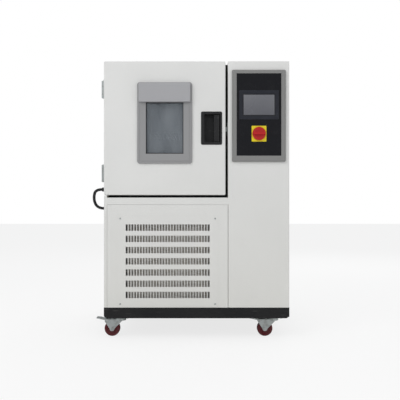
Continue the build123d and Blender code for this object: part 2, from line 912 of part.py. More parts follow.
# Machine room: condenser with its fan shroud, and the compressor
with BuildPart() as condenser:
    coil_height = condenser_height - condenser_base
    with BuildSketch(facing(condenser_y + condenser_tank_inset)):
        with Locations((condenser_x, condenser_z)):
            Rectangle(condenser_width, coil_height - 2 * condenser_tank_inset)
    extrude(amount=-(condenser_depth - 2 * condenser_tank_inset))
    with BuildSketch(facing(condenser_y)):
        with Locations((condenser_x, condenser_z)):
            fins = int(condenser_width // condenser_fin_pitch)
            with GridLocations(condenser_fin_pitch, 0, fins, 1):
                Rectangle(sheet, coil_height)
    extrude(amount=-condenser_depth)
    with BuildSketch(level(floor)):
        with Locations((condenser_x, condenser_y + (condenser_depth + shroud_depth) / 2)):
            Rectangle(condenser_width, condenser_depth + shroud_depth)
    extrude(amount=condenser_base)
    with BuildSketch(facing(condenser_y + condenser_depth)):
        with Locations((condenser_x, condenser_z)):
            Rectangle(condenser_width, coil_height)
            Circle(condenser_fan_radius + condenser_tank_inset, mode=Mode.SUBTRACT)
    extrude(amount=-shroud_depth)
    with BuildSketch(facing(condenser_y + condenser_depth)):
        with Locations((condenser_x, condenser_z)):
            Rectangle(condenser_width - 2 * sheet, coil_height - 2 * sheet)
    extrude(amount=-(shroud_depth - sheet), mode=Mode.SUBTRACT)
keep(condenser.part, "condenser")

compressor_mid_x = cabinet_x + compressor_x
with BuildPart() as compressor:
    with BuildSketch(level(floor)):
        with Locations((compressor_mid_x, compressor_y)):
            foot_size = (2 * (compressor_radius + compressor_foot_lip), 2 * (compressor_radius - compressor_foot_lip))
            RectangleRounded(*foot_size, compressor_foot)
    extrude(amount=compressor_foot)
    with BuildSketch(level(floor + compressor_foot)):
        with Locations((compressor_mid_x, compressor_y)):
            Circle(compressor_radius)
    extrude(amount=compressor_height)
    fillet(compressor.faces().sort_by(Axis.Z)[-1].edges(), compressor_radius * 0.5)
    pipe_start = (compressor_mid_x, compressor_y, floor + compressor_height)
    pipe_end_x = condenser_x + condenser_width / 2 - condenser_base
    pipe_end_z = condenser_z + condenser_height / 2 - condenser_foot
    pipe_end = (pipe_end_x, condenser_y + condenser_depth / 2, pipe_end_z)
    pipe_top = pipe_end_z + pipe_rise
    with BuildLine() as pipe_route:
        FilletPolyline(
            pipe_start,
            (pipe_start[0], pipe_start[1], pipe_top),
            (pipe_end[0], pipe_end[1], pipe_top),
            pipe_end,
            radius=pipe_bend,
        )
    with BuildSketch(Plane(origin=pipe_start, z_dir=(0, 0, 1))):
        Circle(pipe_radius)
    sweep()
keep(compressor.part, "compressor_and_pipes")


# Electrical plate with its switchgear, standing off the column wall
board_height = height - ledge_height - 2 * board_end_room
with BuildPart() as electrical_plate:
    board_x = column_left + sheet + plate_stand
    board_z = (ledge_height + height) / 2
    with BuildSketch(across(board_x)):
        with Locations((board_y, board_z)):
            Rectangle(board_width, board_height)
    extrude(amount=sheet)
    with BuildSketch(across(column_left + sheet)):
        with Locations((board_y, board_z)):
            with GridLocations(board_width - 2 * board_hole_inset, board_height - 2 * board_hole_inset, 2, 2):
                Circle(stand_radius)
    extrude(amount=plate_stand)
    with BuildSketch(across(board_x + sheet)):
        with Locations((board_y, board_z + controller_rise)):
            Rectangle(board_width - 2 * controller_inset, controller_height)
        with Locations((board_y, board_z - contactor_drop)):
            with GridLocations(contactor_pitch, 0, contactors, 1):
                Rectangle(contactor_width, contactor_height)
        with Locations((board_y, board_z - relay_drop)):
            with GridLocations(relay_pitch, 0, relays, 1):
                Rectangle(relay_width, relay_height)
    extrude(amount=gear_depth)
keep(electrical_plate.part, "electrical_plate")


# Door: a folded outer pan, foam, and a steel liner with the window tunnel
door_z = (door_bottom + height) / 2
tunnel_wall = 2
tunnel_width = glass_width + 2 * tunnel_wall
tunnel_height = glass_height + 2 * tunnel_wall
bolt_slot_height = bolt_height + 2 * loose_gap
bolt_slot_thickness = bolt_thickness + 2 * loose_gap
guide_length = 58
guide_margin = 4
guide_height = bolt_slot_height + 2 * guide_margin
guide_front = front + cup_depth + cup_wall
guide_back = bolt_y + bolt_slot_thickness / 2 + guide_margin / 2

with BuildPart() as door_skin:
    outer_size = (door_width, door_height)
    inner_size = (door_width - 2 * sheet, door_height - 2 * sheet)
    inner_radius = door_edge_radius - sheet
    add(block(chamber_x, door_z, front, outer_size, door_thickness, door_edge_radius + 1, door_edge_radius))
    inside = block(chamber_x, door_z, front + sheet, inner_size, door_thickness, inner_radius + 1, inner_radius)
    add(inside, mode=Mode.SUBTRACT)
    with BuildSketch(facing(front)):
        with Locations((chamber_x, glass_z)):
            Rectangle(tunnel_width, tunnel_height)
        with Locations((tub_x, chamber_z)):
            RectangleRounded(tub_width + 2 * cup_wall, tub_height + 2 * cup_wall, 6)
    extrude(amount=-sheet, mode=Mode.SUBTRACT)
    with BuildSketch(across(door_right)):
        with Locations((bolt_y, chamber_z)):
            Rectangle(bolt_slot_thickness, bolt_slot_height)
    extrude(amount=-sheet, mode=Mode.SUBTRACT)
keep(door_skin.part, "door_skin")

with BuildPart() as door_insulation:
    with BuildSketch(facing(front + sheet)):
        with Locations((chamber_x, door_z)):
            RectangleRounded(door_width - 2 * sheet, door_height - 2 * sheet, door_edge_radius)
    extrude(amount=-(door_thickness - sheet - liner_sheet))
    chamfer(door_insulation.faces().sort_by(Axis.Y)[0].edges(), door_edge_radius - 1)
    with BuildSketch(facing(front + sheet)):
        with Locations((chamber_x, glass_z)):
            Rectangle(tunnel_width, tunnel_height)
    extrude(amount=-door_thickness, mode=Mode.SUBTRACT)
    with BuildSketch(facing(front + sheet)):
        with Locations((tub_x, chamber_z)):
            Rectangle(tub_width + 2 * cup_wall, tub_height + 2 * cup_wall)
    extrude(amount=-(cup_depth + cup_wall - sheet), mode=Mode.SUBTRACT)
    with BuildSketch(facing(guide_front)):
        with Locations((door_right - sheet - guide_length / 2, chamber_z)):
            Rectangle(guide_length, guide_height)
    extrude(amount=-(guide_back - guide_front), mode=Mode.SUBTRACT)
    with BuildSketch(facing(bolt_y - bolt_slot_thickness / 2)):
        with Locations((door_right - sheet - guide_length - 12, chamber_z)):
            Rectangle(30, bolt_slot_height)
    extrude(amount=-bolt_slot_thickness, mode=Mode.SUBTRACT)
keep(door_insulation.part, "door_insulation")

with BuildPart() as door_liner:
    with BuildSketch(facing(door_back - liner_sheet)):
        with Locations((chamber_x, door_z)):
            RectangleRounded(door_width - 2 * sheet, door_height - 2 * sheet, door_edge_radius)
    extrude(amount=-liner_sheet)
    with BuildSketch(facing(front)):
        with Locations((chamber_x, glass_z)):
            Rectangle(tunnel_width, tunnel_height)
    extrude(amount=-(door_thickness))
    with BuildSketch(facing(front)):
        with Locations((chamber_x, glass_z)):
            Rectangle(glass_width, glass_height)
    extrude(amount=-door_thickness, mode=Mode.SUBTRACT)
keep(door_liner.part, "door_liner")

gasket_lip = 2
with BuildPart() as door_gasket:
    with BuildSketch(facing(door_back)):
        with Locations((chamber_x, door_z)):
            RectangleRounded(door_width - 2 * gasket_inset, door_height - 2 * gasket_inset, 12)
            RectangleRounded(
                door_width - 2 * (gasket_inset + gasket_width),
                door_height - 2 * (gasket_inset + gasket_width),
                6,
                mode=Mode.SUBTRACT,
            )
    extrude(amount=-(gasket_thickness - loose_gap))
    chamfer(door_gasket.faces().sort_by(Axis.Y)[-1].edges(), gasket_lip)
keep(door_gasket.part, "door_gasket")


# Window: frame, glazing and the lamp cover over its upper part
with BuildPart() as window_frame:
    with BuildSketch(facing(front)):
        with Locations((chamber_x, window_z)):
            RectangleRounded(window_width, window_height, window_corner)
        with Locations((chamber_x, glass_z)):
            RectangleRounded(glass_width, glass_height, 4, mode=Mode.SUBTRACT)
    extrude(amount=window_proud)
    fillet(window_frame.faces().sort_by(Axis.Y)[0].edges(), 3)
keep(window_frame.part, "window_frame")

pane_faces = (front + 1, front + door_thickness / 2, door_back - glass_thickness - 1)
with BuildPart() as window_glass:
    for pane_front in pane_faces:
        with BuildSketch(facing(pane_front)):
            with Locations((chamber_x, glass_z)):
                Rectangle(glass_width, glass_height)
        extrude(amount=-glass_thickness)
keep(window_glass.part, "window_glass")

with BuildPart() as lamp_cover:
    cover_face = lamp_cover_y - lamp_cover_depth
    cover_size = (lamp_cover_width, lamp_cover_height)
    hollow_size = (lamp_cover_width - 2 * sheet, lamp_cover_height - 2 * sheet)
    add(block(chamber_x, lamp_cover_z, cover_face, cover_size, lamp_cover_depth, 8, 4))
    hollow = block(chamber_x, lamp_cover_z, cover_face + sheet, hollow_size, lamp_cover_depth, 6, 2)
    add(hollow, mode=Mode.SUBTRACT)
keep(lamp_cover.part, "lamp_cover")

lamp_length = 220
socket_length = 14
with BuildPart() as window_lamp:
    lamp_y = lamp_cover_y - lamp_radius / 2
    with BuildSketch(across(chamber_x - lamp_length / 2)):
        with Locations((lamp_y, lamp_cover_z)):
            Circle(lamp_radius / 2)
    extrude(amount=lamp_length)
    for side in (-1, 1):
        with BuildSketch(across(chamber_x + side * lamp_length / 2)):
            with Locations((lamp_y, lamp_cover_z)):
                Rectangle(lamp_radius, 2 * lamp_radius)
        extrude(amount=-side * socket_length)
keep(window_lamp.part, "window_lamp")


# Handle cup with the guide of the latch bolt behind it
with BuildPart() as handle_cup:
    with BuildSketch(facing(front)):
        with Locations((cup_x, chamber_z)):
            RectangleRounded(cup_width, cup_height, 8)
    extrude(amount=cup_flange)
    fillet(handle_cup.faces().sort_by(Axis.Y)[0].edges(), 1.5)
    with BuildSketch(facing(front)):
        with Locations((tub_x, chamber_z)):
            RectangleRounded(tub_width + 2 * cup_wall, tub_height + 2 * cup_wall, 6)
    extrude(amount=-(cup_depth + cup_wall))
    with BuildSketch(facing(guide_front)):
        with Locations((door_right - sheet - guide_length / 2, chamber_z)):
            Rectangle(guide_length, guide_height)
    extrude(amount=-(guide_back - guide_front))
    with BuildSketch(facing(front - cup_flange)):
        with Locations((tub_x, chamber_z)):
            RectangleRounded(tub_width, tub_height, 4)
    extrude(amount=-(cup_depth + cup_flange), mode=Mode.SUBTRACT)
    with BuildSketch(across(door_right - sheet)):
        with Locations((bolt_y, chamber_z)):
            Rectangle(bolt_slot_thickness, bolt_slot_height)
    extrude(amount=-guide_length, mode=Mode.SUBTRACT)
    with BuildSketch(level(chamber_z - lever_length / 2 - 6)):
        with Locations((lever_x, lever_y)):
            Circle(lever_pin_radius + running_gap)
    extrude(amount=lever_length + 12, mode=Mode.SUBTRACT)
keep(handle_cup.part, "handle_cup")

with BuildPart() as handle_lever:
    with BuildSketch(level(chamber_z - lever_length / 2)):
        with Locations((lever_x, lever_y)):
            Circle(lever_radius)
        with Locations((lever_x - lever_reach / 2, lever_y - 1)):
            RectangleRounded(lever_reach, 7, 3)
    extrude(amount=lever_length)
    with BuildSketch(level(chamber_z - lever_length / 2 - 6 + loose_gap)):
        with Locations((lever_x, lever_y)):
            Circle(lever_pin_radius)
    extrude(amount=lever_length + 12 - 2 * loose_gap)
keep(handle_lever.part, "handle_lever")

with BuildPart() as latch_bolt:
    with BuildSketch(across(door_right + bolt_reach)):
        with Locations((bolt_y, chamber_z)):
            Rectangle(bolt_thickness, bolt_height)
    extrude(amount=-bolt_length)
    nose = latch_bolt.faces().sort_by(Axis.X)[-1].edges().filter_by(Axis.Z).sort_by(Axis.Y)[-1]
    chamfer(nose, length=bolt_reach - 1, length2=bolt_thickness - 4)
keep(latch_bolt.part, "latch_bolt")

with BuildPart() as latch_strike:
    with BuildSketch(across(column_left)):
        with Locations((bolt_y, chamber_z)):
            RectangleRounded(30, 70, 5)
            Rectangle(bolt_thickness + 4, bolt_height + 4, mode=Mode.SUBTRACT)
    extrude(amount=-strike_thickness)
keep(latch_strike.part, "latch_strike")


# Hinges: block leaves on the left side, the cabinet's with the pin
third = hinge_height / 3
knuckle_room = 8


def leaf(side, bottom, spans):
    """A hinge leaf on the side face, on the cabinet's (1) or the door's (-1) side of the pin."""
    with BuildPart() as one_leaf:
        with BuildSketch(level(bottom)):
            with Locations((left - hinge_leaf / 2, hinge_y + side * (knuckle_room + hinge_leaf_length / 2))):
                Rectangle(hinge_leaf, hinge_leaf_length)
        extrude(amount=hinge_height)
        for span_bottom, span_top in spans:
            with BuildSketch(level(bottom + span_bottom)):
                with Locations((hinge_x, hinge_y)):
                    Circle(knuckle_radius)
                with Locations((left - hinge_leaf / 2 - 1, hinge_y + side * knuckle_room / 2)):
                    Rectangle(hinge_leaf - 2, knuckle_room + 2)
                with Locations((hinge_x, hinge_y)):
                    Circle(hinge_pin_radius + running_gap, mode=Mode.SUBTRACT)
            extrude(amount=span_top - span_bottom)
    return one_leaf.part


with BuildPart() as hinge_cabinet_leaves:
    for hinge_z in hinge_levels:
        hinge_bottom = hinge_z - hinge_height / 2
        add(leaf(1, hinge_bottom, [(0, third), (2 * third, hinge_height)]))
        with BuildSketch(level(hinge_bottom)):
            with Locations((hinge_x, hinge_y)):
                Circle(hinge_pin_radius)
        extrude(amount=hinge_height)
        for cap_z in (hinge_bottom - 2, hinge_bottom + hinge_height):
            with BuildSketch(level(cap_z)):
                with Locations((hinge_x, hinge_y)):
                    Circle(hinge_pin_radius + 2)
            extrude(amount=2)
keep(hinge_cabinet_leaves.part, "hinge_cabinet_leaves")

with BuildPart() as hinge_door_leaves:
    for hinge_z in hinge_levels:
        add(leaf(-1, hinge_z - hinge_height / 2, [(third + loose_gap, 2 * third - loose_gap)]))
keep(hinge_door_leaves.part, "hinge_door_leaves")


# Door conduit: a hose looping from the door's side to the cabinet's side, and the glands that hold it
def gland(mouth, bore):
    """A gland standing out of the plane mouth, with a hexagon below and a domed nut on top."""
    with BuildPart() as fitting:
        with BuildSketch(mouth):
            RegularPolygon(gland_radius, 6)
        extrude(amount=gland_length * 0.45)
        with BuildSketch(mouth):
            Circle(gland_radius * 0.8)
        extrude(amount=gland_length)
        if bore > 0:
            with BuildSketch(mouth):
                Circle(bore)
            extrude(amount=gland_length, mode=Mode.SUBTRACT)
    return fitting.part


door_gland_mouth = Plane(origin=(left, door_gland_y, door_gland_z), x_dir=(0, 1, 0), z_dir=(-1, 0, 0))
side_gland_mouth = Plane(origin=(left, side_gland_y, side_gland_z), x_dir=(0, 1, 0), z_dir=(-1, 0, 0))

with BuildPart() as door_conduit_gland:
    add(gland(door_gland_mouth, 0))
keep(door_conduit_gland.part, "door_conduit_gland")

with BuildPart() as cable_glands:
    add(gland(side_gland_mouth, 0))
    rear_mouth = Plane(origin=(cable_x, rear - sheet, drain_height), x_dir=(1, 0, 0), z_dir=(0, 1, 0))
    add(gland(rear_mouth, cable_radius))
keep(cable_glands.part, "cable_glands")

hose_start = left - gland_length
hose_points = [
    (hose_start, door_gland_y, door_gland_z),
    (hose_start - 34, door_gland_y, door_gland_z),
    (hose_start - 48, door_gland_y + 22, door_gland_z - 40),
    (hose_start - 44, side_gland_y - 12, side_gland_z + 20),
    (hose_start - 22, side_gland_y, side_gland_z),
    (hose_start, side_gland_y, side_gland_z),
]


def bend_radii(points):
    """The largest arc at each inner point that its two runs allow."""
    radii = []
    for before, corner, after in zip(points, points[1:], points[2:]):
        run_in = Vector(*corner) - Vector(*before)
        run_out = Vector(*after) - Vector(*corner)
        half_turn = acos(run_in.normalized().dot(run_out.normalized())) / 2
        radii.append(0.45 * min(run_in.length, run_out.length) / tan(half_turn))
    return radii


with BuildPart() as door_conduit:
    hose_radii = bend_radii(hose_points)
    print("hose bend radii", [round(r, 1) for r in hose_radii])
    with BuildLine() as hose_line:
        FilletPolyline(*hose_points, radius=hose_radii)
    with BuildSketch(Plane(origin=hose_points[0], z_dir=(-1, 0, 0))):
        Circle(hose_radius)
    sweep()
keep(door_conduit.part, "door_conduit")


# Control panel on the column
with BuildPart() as control_bezel:
    with BuildSketch(facing(front)):
        with Locations((column_x, bezel_z)):
            RectangleRounded(bezel_width, bezel_height, bezel_corner)
    extrude(amount=bezel_depth)
    chamfer(control_bezel.faces().sort_by(Axis.Y)[0].edges(), bezel_taper)
    with BuildSketch(facing(front - bezel_depth)):
        with Locations((column_x, plate_z)):
            Rectangle(plate_width, plate_height)
    extrude(amount=-plate_pocket, mode=Mode.SUBTRACT)
    with BuildSketch(facing(front)):
        with Locations((column_x, screen_z)):
            Rectangle(screen_hole_width + 2 * loose_gap, screen_hole_height + 2 * loose_gap)
        with Locations((column_x, switch_z)):
            Circle(knob_shaft_radius + knob_shaft_hole_gap)
    extrude(amount=bezel_depth, mode=Mode.SUBTRACT)
keep(control_bezel.part, "control_bezel")

with BuildPart() as control_plate:
    with BuildSketch(facing(plate_y)):
        with Locations((column_x, plate_z)):
            Rectangle(plate_width - 2 * loose_gap, plate_height - 2 * loose_gap)
        with Locations((column_x, screen_z)):
            Rectangle(
                screen_hole_width + 2 * loose_gap, screen_hole_height + 2 * loose_gap, mode=Mode.SUBTRACT
            )
        with Locations((column_x, switch_z)):
            Circle(knob_shaft_radius + knob_shaft_hole_gap, mode=Mode.SUBTRACT)
    extrude(amount=plate_thickness)
keep(control_plate.part, "control_plate")

screen_recess = 1.5
with BuildPart() as touch_screen:
    with BuildSketch(facing(switch_y)):
        with Locations((column_x, screen_z)):
            RectangleRounded(screen_width, screen_height, 4)
    extrude(amount=screen_proud)
    fillet(touch_screen.faces().sort_by(Axis.Y)[0].edges(), 1.5)
    with BuildSketch(facing(switch_y)):
        with Locations((column_x, screen_z)):
            Rectangle(screen_hole_width, screen_hole_height)
    extrude(amount=-screen_body_depth)
    with BuildSketch(facing(switch_y - screen_proud)):
        with Locations((column_x, screen_z)):
            Rectangle(display_width, display_height)
    extrude(amount=-screen_recess, mode=Mode.SUBTRACT)
keep(touch_screen.part, "touch_screen")

with BuildPart() as switch_base:
    with BuildSketch(facing(switch_y)):
        with Locations((column_x, switch_z)):
            RectangleRounded(switch_plate_width, switch_plate_height, 3)
    extrude(amount=switch_plate_thickness)
    with BuildSketch(facing(switch_y)):
        with Locations((column_x, switch_z)):
            Circle(knob_shaft_radius + knob_edge)
    extrude(amount=-(front + sheet - switch_y))
    with BuildSketch(facing(front + sheet)):
        with Locations((column_x, switch_z)):
            Rectangle(switch_body, switch_body)
    extrude(amount=-switch_body)
    with BuildSketch(facing(switch_y - switch_plate_thickness)):
        with Locations((column_x, switch_z)):
            Circle(knob_shaft_radius + running_gap)
    extrude(amount=-(front + sheet + 20 - switch_y + switch_plate_thickness), mode=Mode.SUBTRACT)
keep(switch_base.part, "switch_base")

with BuildPart() as switch_knob:
    knob_back = switch_y - switch_plate_thickness - loose_gap
    with BuildSketch(facing(knob_back)):
        with Locations((column_x, switch_z)):
            Circle(knob_radius)
    extrude(amount=knob_thickness)
    chamfer(switch_knob.faces().sort_by(Axis.Y)[0].edges(), knob_edge)
    with BuildSketch(facing(knob_back - knob_thickness)):
        with Locations((column_x, switch_z)):
            RectangleRounded(2 * (knob_radius - knob_grip_inset), knob_grip_width, knob_grip_corner)
    extrude(amount=knob_grip_height)
    with BuildSketch(facing(knob_back)):
        with Locations((column_x, switch_z)):
            Circle(knob_shaft_radius)
    extrude(amount=-(front + sheet + 18 - knob_back))
keep(switch_knob.part, "switch_knob")


# Rear drain stub
with BuildPart() as drain_stub:
    with BuildSketch(facing(rear + drain_length)):
        with Locations((chamber_x, drain_height)):
            Circle(drain_radius)
    extrude(amount=drain_length + sheet + 10)
    with BuildSketch(facing(rear - sheet)):
        with Locations((chamber_x, drain_height)):
            Circle(drain_radius + drain_flange_lip)
    extrude(amount=-drain_flange)
    with BuildSketch(facing(rear + drain_length)):
        with Locations((chamber_x, drain_height)):
            Circle(drain_radius - drain_wall)
    extrude(amount=drain_length, mode=Mode.SUBTRACT)
keep(drain_stub.part, "drain_stub")


# Casters
leg_y = wheel_width / 2 + wheel_side_gap
crown_top = race_bottom - loose_gap

with BuildPart() as caster_plates:
    with BuildSketch(level(caster_height - caster_plate_thickness)):
        with Locations((cabinet_x, 0)):
            with GridLocations(kingpins_x, kingpins_y, 2, 2):
                RectangleRounded(caster_plate_x, caster_plate_y, 8)
    extrude(amount=caster_plate_thickness)
    with BuildSketch(level(race_bottom)):
        with Locations((cabinet_x, 0)):
            with GridLocations(kingpins_x, kingpins_y, 2, 2):
                Circle(race_radius)
    extrude(amount=caster_height - race_bottom)
    with BuildSketch(level(crown_bottom - 6)):
        with Locations((cabinet_x, 0)):
            with GridLocations(kingpins_x, kingpins_y, 2, 2):
                Circle(kingpin_radius)
    extrude(amount=race_bottom - crown_bottom + 6)
    with BuildSketch(level(crown_bottom - 6)):
        with Locations((cabinet_x, 0)):
            with GridLocations(kingpins_x, kingpins_y, 2, 2):
                RegularPolygon(kingpin_radius + 4, 6)
    extrude(amount=6 - loose_gap)
    with BuildSketch(level(caster_height - caster_plate_thickness - 5)):
        with Locations((cabinet_x, 0)):
            with GridLocations(kingpins_x, kingpins_y, 2, 2):
                with GridLocations(caster_bolts_x, caster_bolts_y, 2, 2):
                    RegularPolygon(caster_bolt_radius + 3, 6)
    extrude(amount=5)
    with BuildSketch(level(caster_height)):
        with Locations((cabinet_x, 0)):
            with GridLocations(kingpins_x, kingpins_y, 2, 2):
                with GridLocations(caster_bolts_x, caster_bolts_y, 2, 2):
                    Circle(caster_bolt_radius)
    extrude(amount=pad_thickness)
keep(caster_plates.part, "caster_plates")


def caster(place, kingpin_x, kingpin_y, braked):
    """The fork, the wheel and, where braked, the pedal of one caster, trailing to the left."""
    axle_x = kingpin_x - caster_trail
    pivot_x = axle_x - brake_pivot_x
    with BuildPart() as fork:
        with BuildSketch(facing(kingpin_y + leg_y + fork_leg)):
            with BuildLine():
                Polyline(
                    (kingpin_x + 18, crown_bottom + 6),
                    (axle_x + 13, wheel_radius),
                    (axle_x - 13, wheel_radius),
                    (pivot_x - 7, brake_pivot_z - 7),
                    (pivot_x - 7, crown_bottom + 6),
                    close=True,
                )
            make_face()
            with Locations((axle_x, wheel_radius)):
                Circle(13)
        extrude(amount=2 * (leg_y + fork_leg))
        with BuildSketch(facing(kingpin_y + leg_y)):
            with Locations((kingpin_x - 20, 0)):
                Rectangle(200, 2 * crown_bottom + 4)
        extrude(amount=2 * leg_y, mode=Mode.SUBTRACT)
        with BuildSketch(level(crown_bottom + 2)):
            with Locations((pivot_x - 10, kingpin_y)):
                Rectangle(40, 2 * leg_y)
        extrude(amount=10, mode=Mode.SUBTRACT)
        with BuildSketch(level(crown_bottom)):
            with Locations((kingpin_x, kingpin_y)):
                Circle(crown_radius)
        extrude(amount=crown_top - crown_bottom)
        with BuildSketch(level(crown_bottom)):
            with Locations((kingpin_x, kingpin_y)):
                Circle(kingpin_radius + running_gap)
        extrude(amount=crown_top - crown_bottom, mode=Mode.SUBTRACT)
        with BuildSketch(facing(kingpin_y + leg_y + fork_leg + 4)):
            with Locations((axle_x, wheel_radius)):
                Circle(axle_radius)
        extrude(amount=2 * (leg_y + fork_leg + 4))
        for side in (-1, 1):
            with BuildSketch(facing(kingpin_y + side * (leg_y + fork_leg))):
                with Locations((axle_x, wheel_radius)):
                    RegularPolygon(axle_radius + 3.5, 6)
            extrude(amount=-side * 4)
        if braked:
            with BuildSketch(facing(kingpin_y + leg_y + fork_leg)):
                with Locations((pivot_x, brake_pivot_z)):
                    Circle(brake_pin_radius)
            extrude(amount=2 * (leg_y + fork_leg))
    keep(fork.part, f"caster_fork_{place}")

    with BuildPart() as wheel:
        with BuildSketch(facing(kingpin_y + wheel_width / 2)):
            with Locations((axle_x, wheel_radius)):
                Circle(wheel_radius)
        extrude(amount=wheel_width)
        chamfer(wheel.edges().filter_by(GeomType.CIRCLE), tread_edge)
        for side in (-1, 1):
            with BuildSketch(facing(kingpin_y + side * wheel_width / 2)):
                with Locations((axle_x, wheel_radius)):
                    Circle(hub_radius)
                    Circle(axle_radius + hub_boss_lip, mode=Mode.SUBTRACT)
            extrude(amount=side * hub_recess, mode=Mode.SUBTRACT)
        with BuildSketch(facing(kingpin_y + leg_y - loose_gap)):
            with Locations((axle_x, wheel_radius)):
                Circle(axle_radius + hub_boss_lip)
        extrude(amount=2 * (leg_y - loose_gap))
        with BuildSketch(facing(kingpin_y + leg_y)):
            with Locations((axle_x, wheel_radius)):
                Circle(axle_radius + running_gap)
        extrude(amount=2 * leg_y, mode=Mode.SUBTRACT)
    keep(wheel.part, f"caster_wheel_{place}")

    if braked:
        with BuildPart() as pedal:
            with BuildSketch(facing(kingpin_y + leg_y - loose_gap)):
                with Locations((pivot_x, brake_pivot_z)):
                    Circle(brake_pin_radius + 2.5)
                Polygon(
                    (pivot_x, brake_pivot_z + brake_pin_radius + 2.5),
                    (pivot_x - pedal_reach, brake_pivot_z + pedal_rise + pedal_thickness / 2),
                    (pivot_x - pedal_reach, brake_pivot_z + pedal_rise - pedal_thickness / 2),
                    (pivot_x - brake_pin_radius - 2, brake_pivot_z - 1),
                    align=None,
                )
            extrude(amount=2 * (leg_y - loose_gap))
            with BuildSketch(facing(kingpin_y + pedal_width / 2)):
                Polygon(
                    (pivot_x - pedal_reach / 2, brake_pivot_z + pedal_rise / 2 + pedal_thickness + 1),
                    (pivot_x - pedal_reach, brake_pivot_z + pedal_rise + pedal_thickness / 2),
                    (pivot_x - pedal_reach, brake_pivot_z + pedal_rise - pedal_thickness / 2),
                    (pivot_x - pedal_reach / 2, brake_pivot_z + pedal_rise / 2),
                    align=None,
                )
            extrude(amount=pedal_width)
            with BuildSketch(facing(kingpin_y + leg_y)):
                with Locations((pivot_x, brake_pivot_z)):
                    Circle(brake_pin_radius + running_gap)
            extrude(amount=2 * leg_y, mode=Mode.SUBTRACT)
        keep(pedal.part, f"brake_pedal_{place}")


for end, kingpin_y in (("front", -kingpins_y / 2), ("rear", kingpins_y / 2)):
    for side, kingpin_x in (("left", cabinet_x - kingpins_x / 2), ("right", cabinet_x + kingpins_x / 2)):
        caster(f"{end}_{side}", kingpin_x, kingpin_y, end == "front")
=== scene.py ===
from math import pi, radians

import bpy
from mathutils import Matrix, Vector


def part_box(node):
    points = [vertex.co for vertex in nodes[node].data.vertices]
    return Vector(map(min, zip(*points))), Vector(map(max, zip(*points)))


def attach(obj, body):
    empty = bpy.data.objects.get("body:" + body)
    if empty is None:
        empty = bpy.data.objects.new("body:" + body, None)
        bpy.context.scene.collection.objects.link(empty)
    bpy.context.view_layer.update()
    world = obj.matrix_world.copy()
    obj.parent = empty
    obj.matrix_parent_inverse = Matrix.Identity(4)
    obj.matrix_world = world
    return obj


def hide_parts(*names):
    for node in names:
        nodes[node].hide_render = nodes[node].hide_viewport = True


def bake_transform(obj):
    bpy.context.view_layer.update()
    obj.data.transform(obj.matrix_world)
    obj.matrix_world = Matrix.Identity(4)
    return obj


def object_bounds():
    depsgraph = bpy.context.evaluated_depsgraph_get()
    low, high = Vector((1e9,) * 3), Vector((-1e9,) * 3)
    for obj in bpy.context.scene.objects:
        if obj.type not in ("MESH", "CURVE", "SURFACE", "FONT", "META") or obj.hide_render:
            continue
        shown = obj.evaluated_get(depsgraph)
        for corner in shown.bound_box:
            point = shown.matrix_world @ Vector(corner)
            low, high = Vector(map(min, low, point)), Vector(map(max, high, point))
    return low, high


# %% [markdown]
# # A floor-standing environmental test chamber
# The solids of the chamber come from its CAD model: they are loaded here as the frame, in metres,
# with X to the right, Y to the back and Z up. What follows dresses that frame: every solid gets a
# finish, small things that a solid model leaves plain are modelled, and a camera looks at the
# machine as a person standing before it would.

# %% Load the frame
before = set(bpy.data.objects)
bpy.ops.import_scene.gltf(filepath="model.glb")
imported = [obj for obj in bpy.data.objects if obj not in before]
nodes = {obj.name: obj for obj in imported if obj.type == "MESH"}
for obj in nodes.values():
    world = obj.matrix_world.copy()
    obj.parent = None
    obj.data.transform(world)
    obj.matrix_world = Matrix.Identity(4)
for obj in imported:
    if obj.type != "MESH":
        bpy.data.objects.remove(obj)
size_at_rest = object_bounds()
print("nodes", len(nodes), "size", [[round(v, 3) for v in corner] for corner in size_at_rest])

MM = 0.001
TOUCH = 0.01 * MM  # points closer than this are at the same place
CORNERS = ("front_left", "front_right", "rear_left", "rear_right")

# %% [markdown]
# ## Selecting as a modeller does
# In edit mode a modeller clicks the faces or edges that the next tool works on. Here the clicks
# are tests on the place or the direction of a face, so that the same choice is made whatever the
# size of the piece.


# %% Helpers for modelling
def select_only(*pieces):
    """Leave just these pieces selected, the first one active, in object mode."""
    if bpy.context.object and bpy.context.object.mode != "OBJECT":
        bpy.ops.object.mode_set(mode="OBJECT")
    bpy.ops.object.select_all(action="DESELECT")
    for piece in pieces:
        piece.select_set(True)
    bpy.context.view_layer.objects.active = pieces[0]


def settle(piece):
    """Write the piece's place, turn and scale into its mesh, so that its own axes are the frame's."""
    select_only(piece)
    bpy.ops.object.transform_apply(location=True, rotation=True, scale=True)
    return piece


def pick_faces(piece, wanted):
    """Go to edit mode with just the wanted faces selected."""
    select_only(piece)
    bpy.ops.object.mode_set(mode="EDIT")
    bpy.context.tool_settings.mesh_select_mode = (False, False, True)
    bpy.ops.mesh.select_all(action="DESELECT")
    bpy.ops.object.mode_set(mode="OBJECT")
    for face in piece.data.polygons:
        face.select = bool(wanted(face))
    bpy.ops.object.mode_set(mode="EDIT")


def pick_edges(piece, wanted):
    """Go to edit mode with just the wanted edges selected; the test gets the two ends of an edge."""
    select_only(piece)
    bpy.ops.object.mode_set(mode="EDIT")
    bpy.context.tool_settings.mesh_select_mode = (False, True, False)
    bpy.ops.mesh.select_all(action="DESELECT")
    bpy.ops.object.mode_set(mode="OBJECT")
    points = piece.data.vertices
    for edge in piece.data.edges:
        ends = [points[v].co for v in edge.vertices]
        edge.select = bool(wanted(*ends))
    bpy.ops.object.mode_set(mode="EDIT")


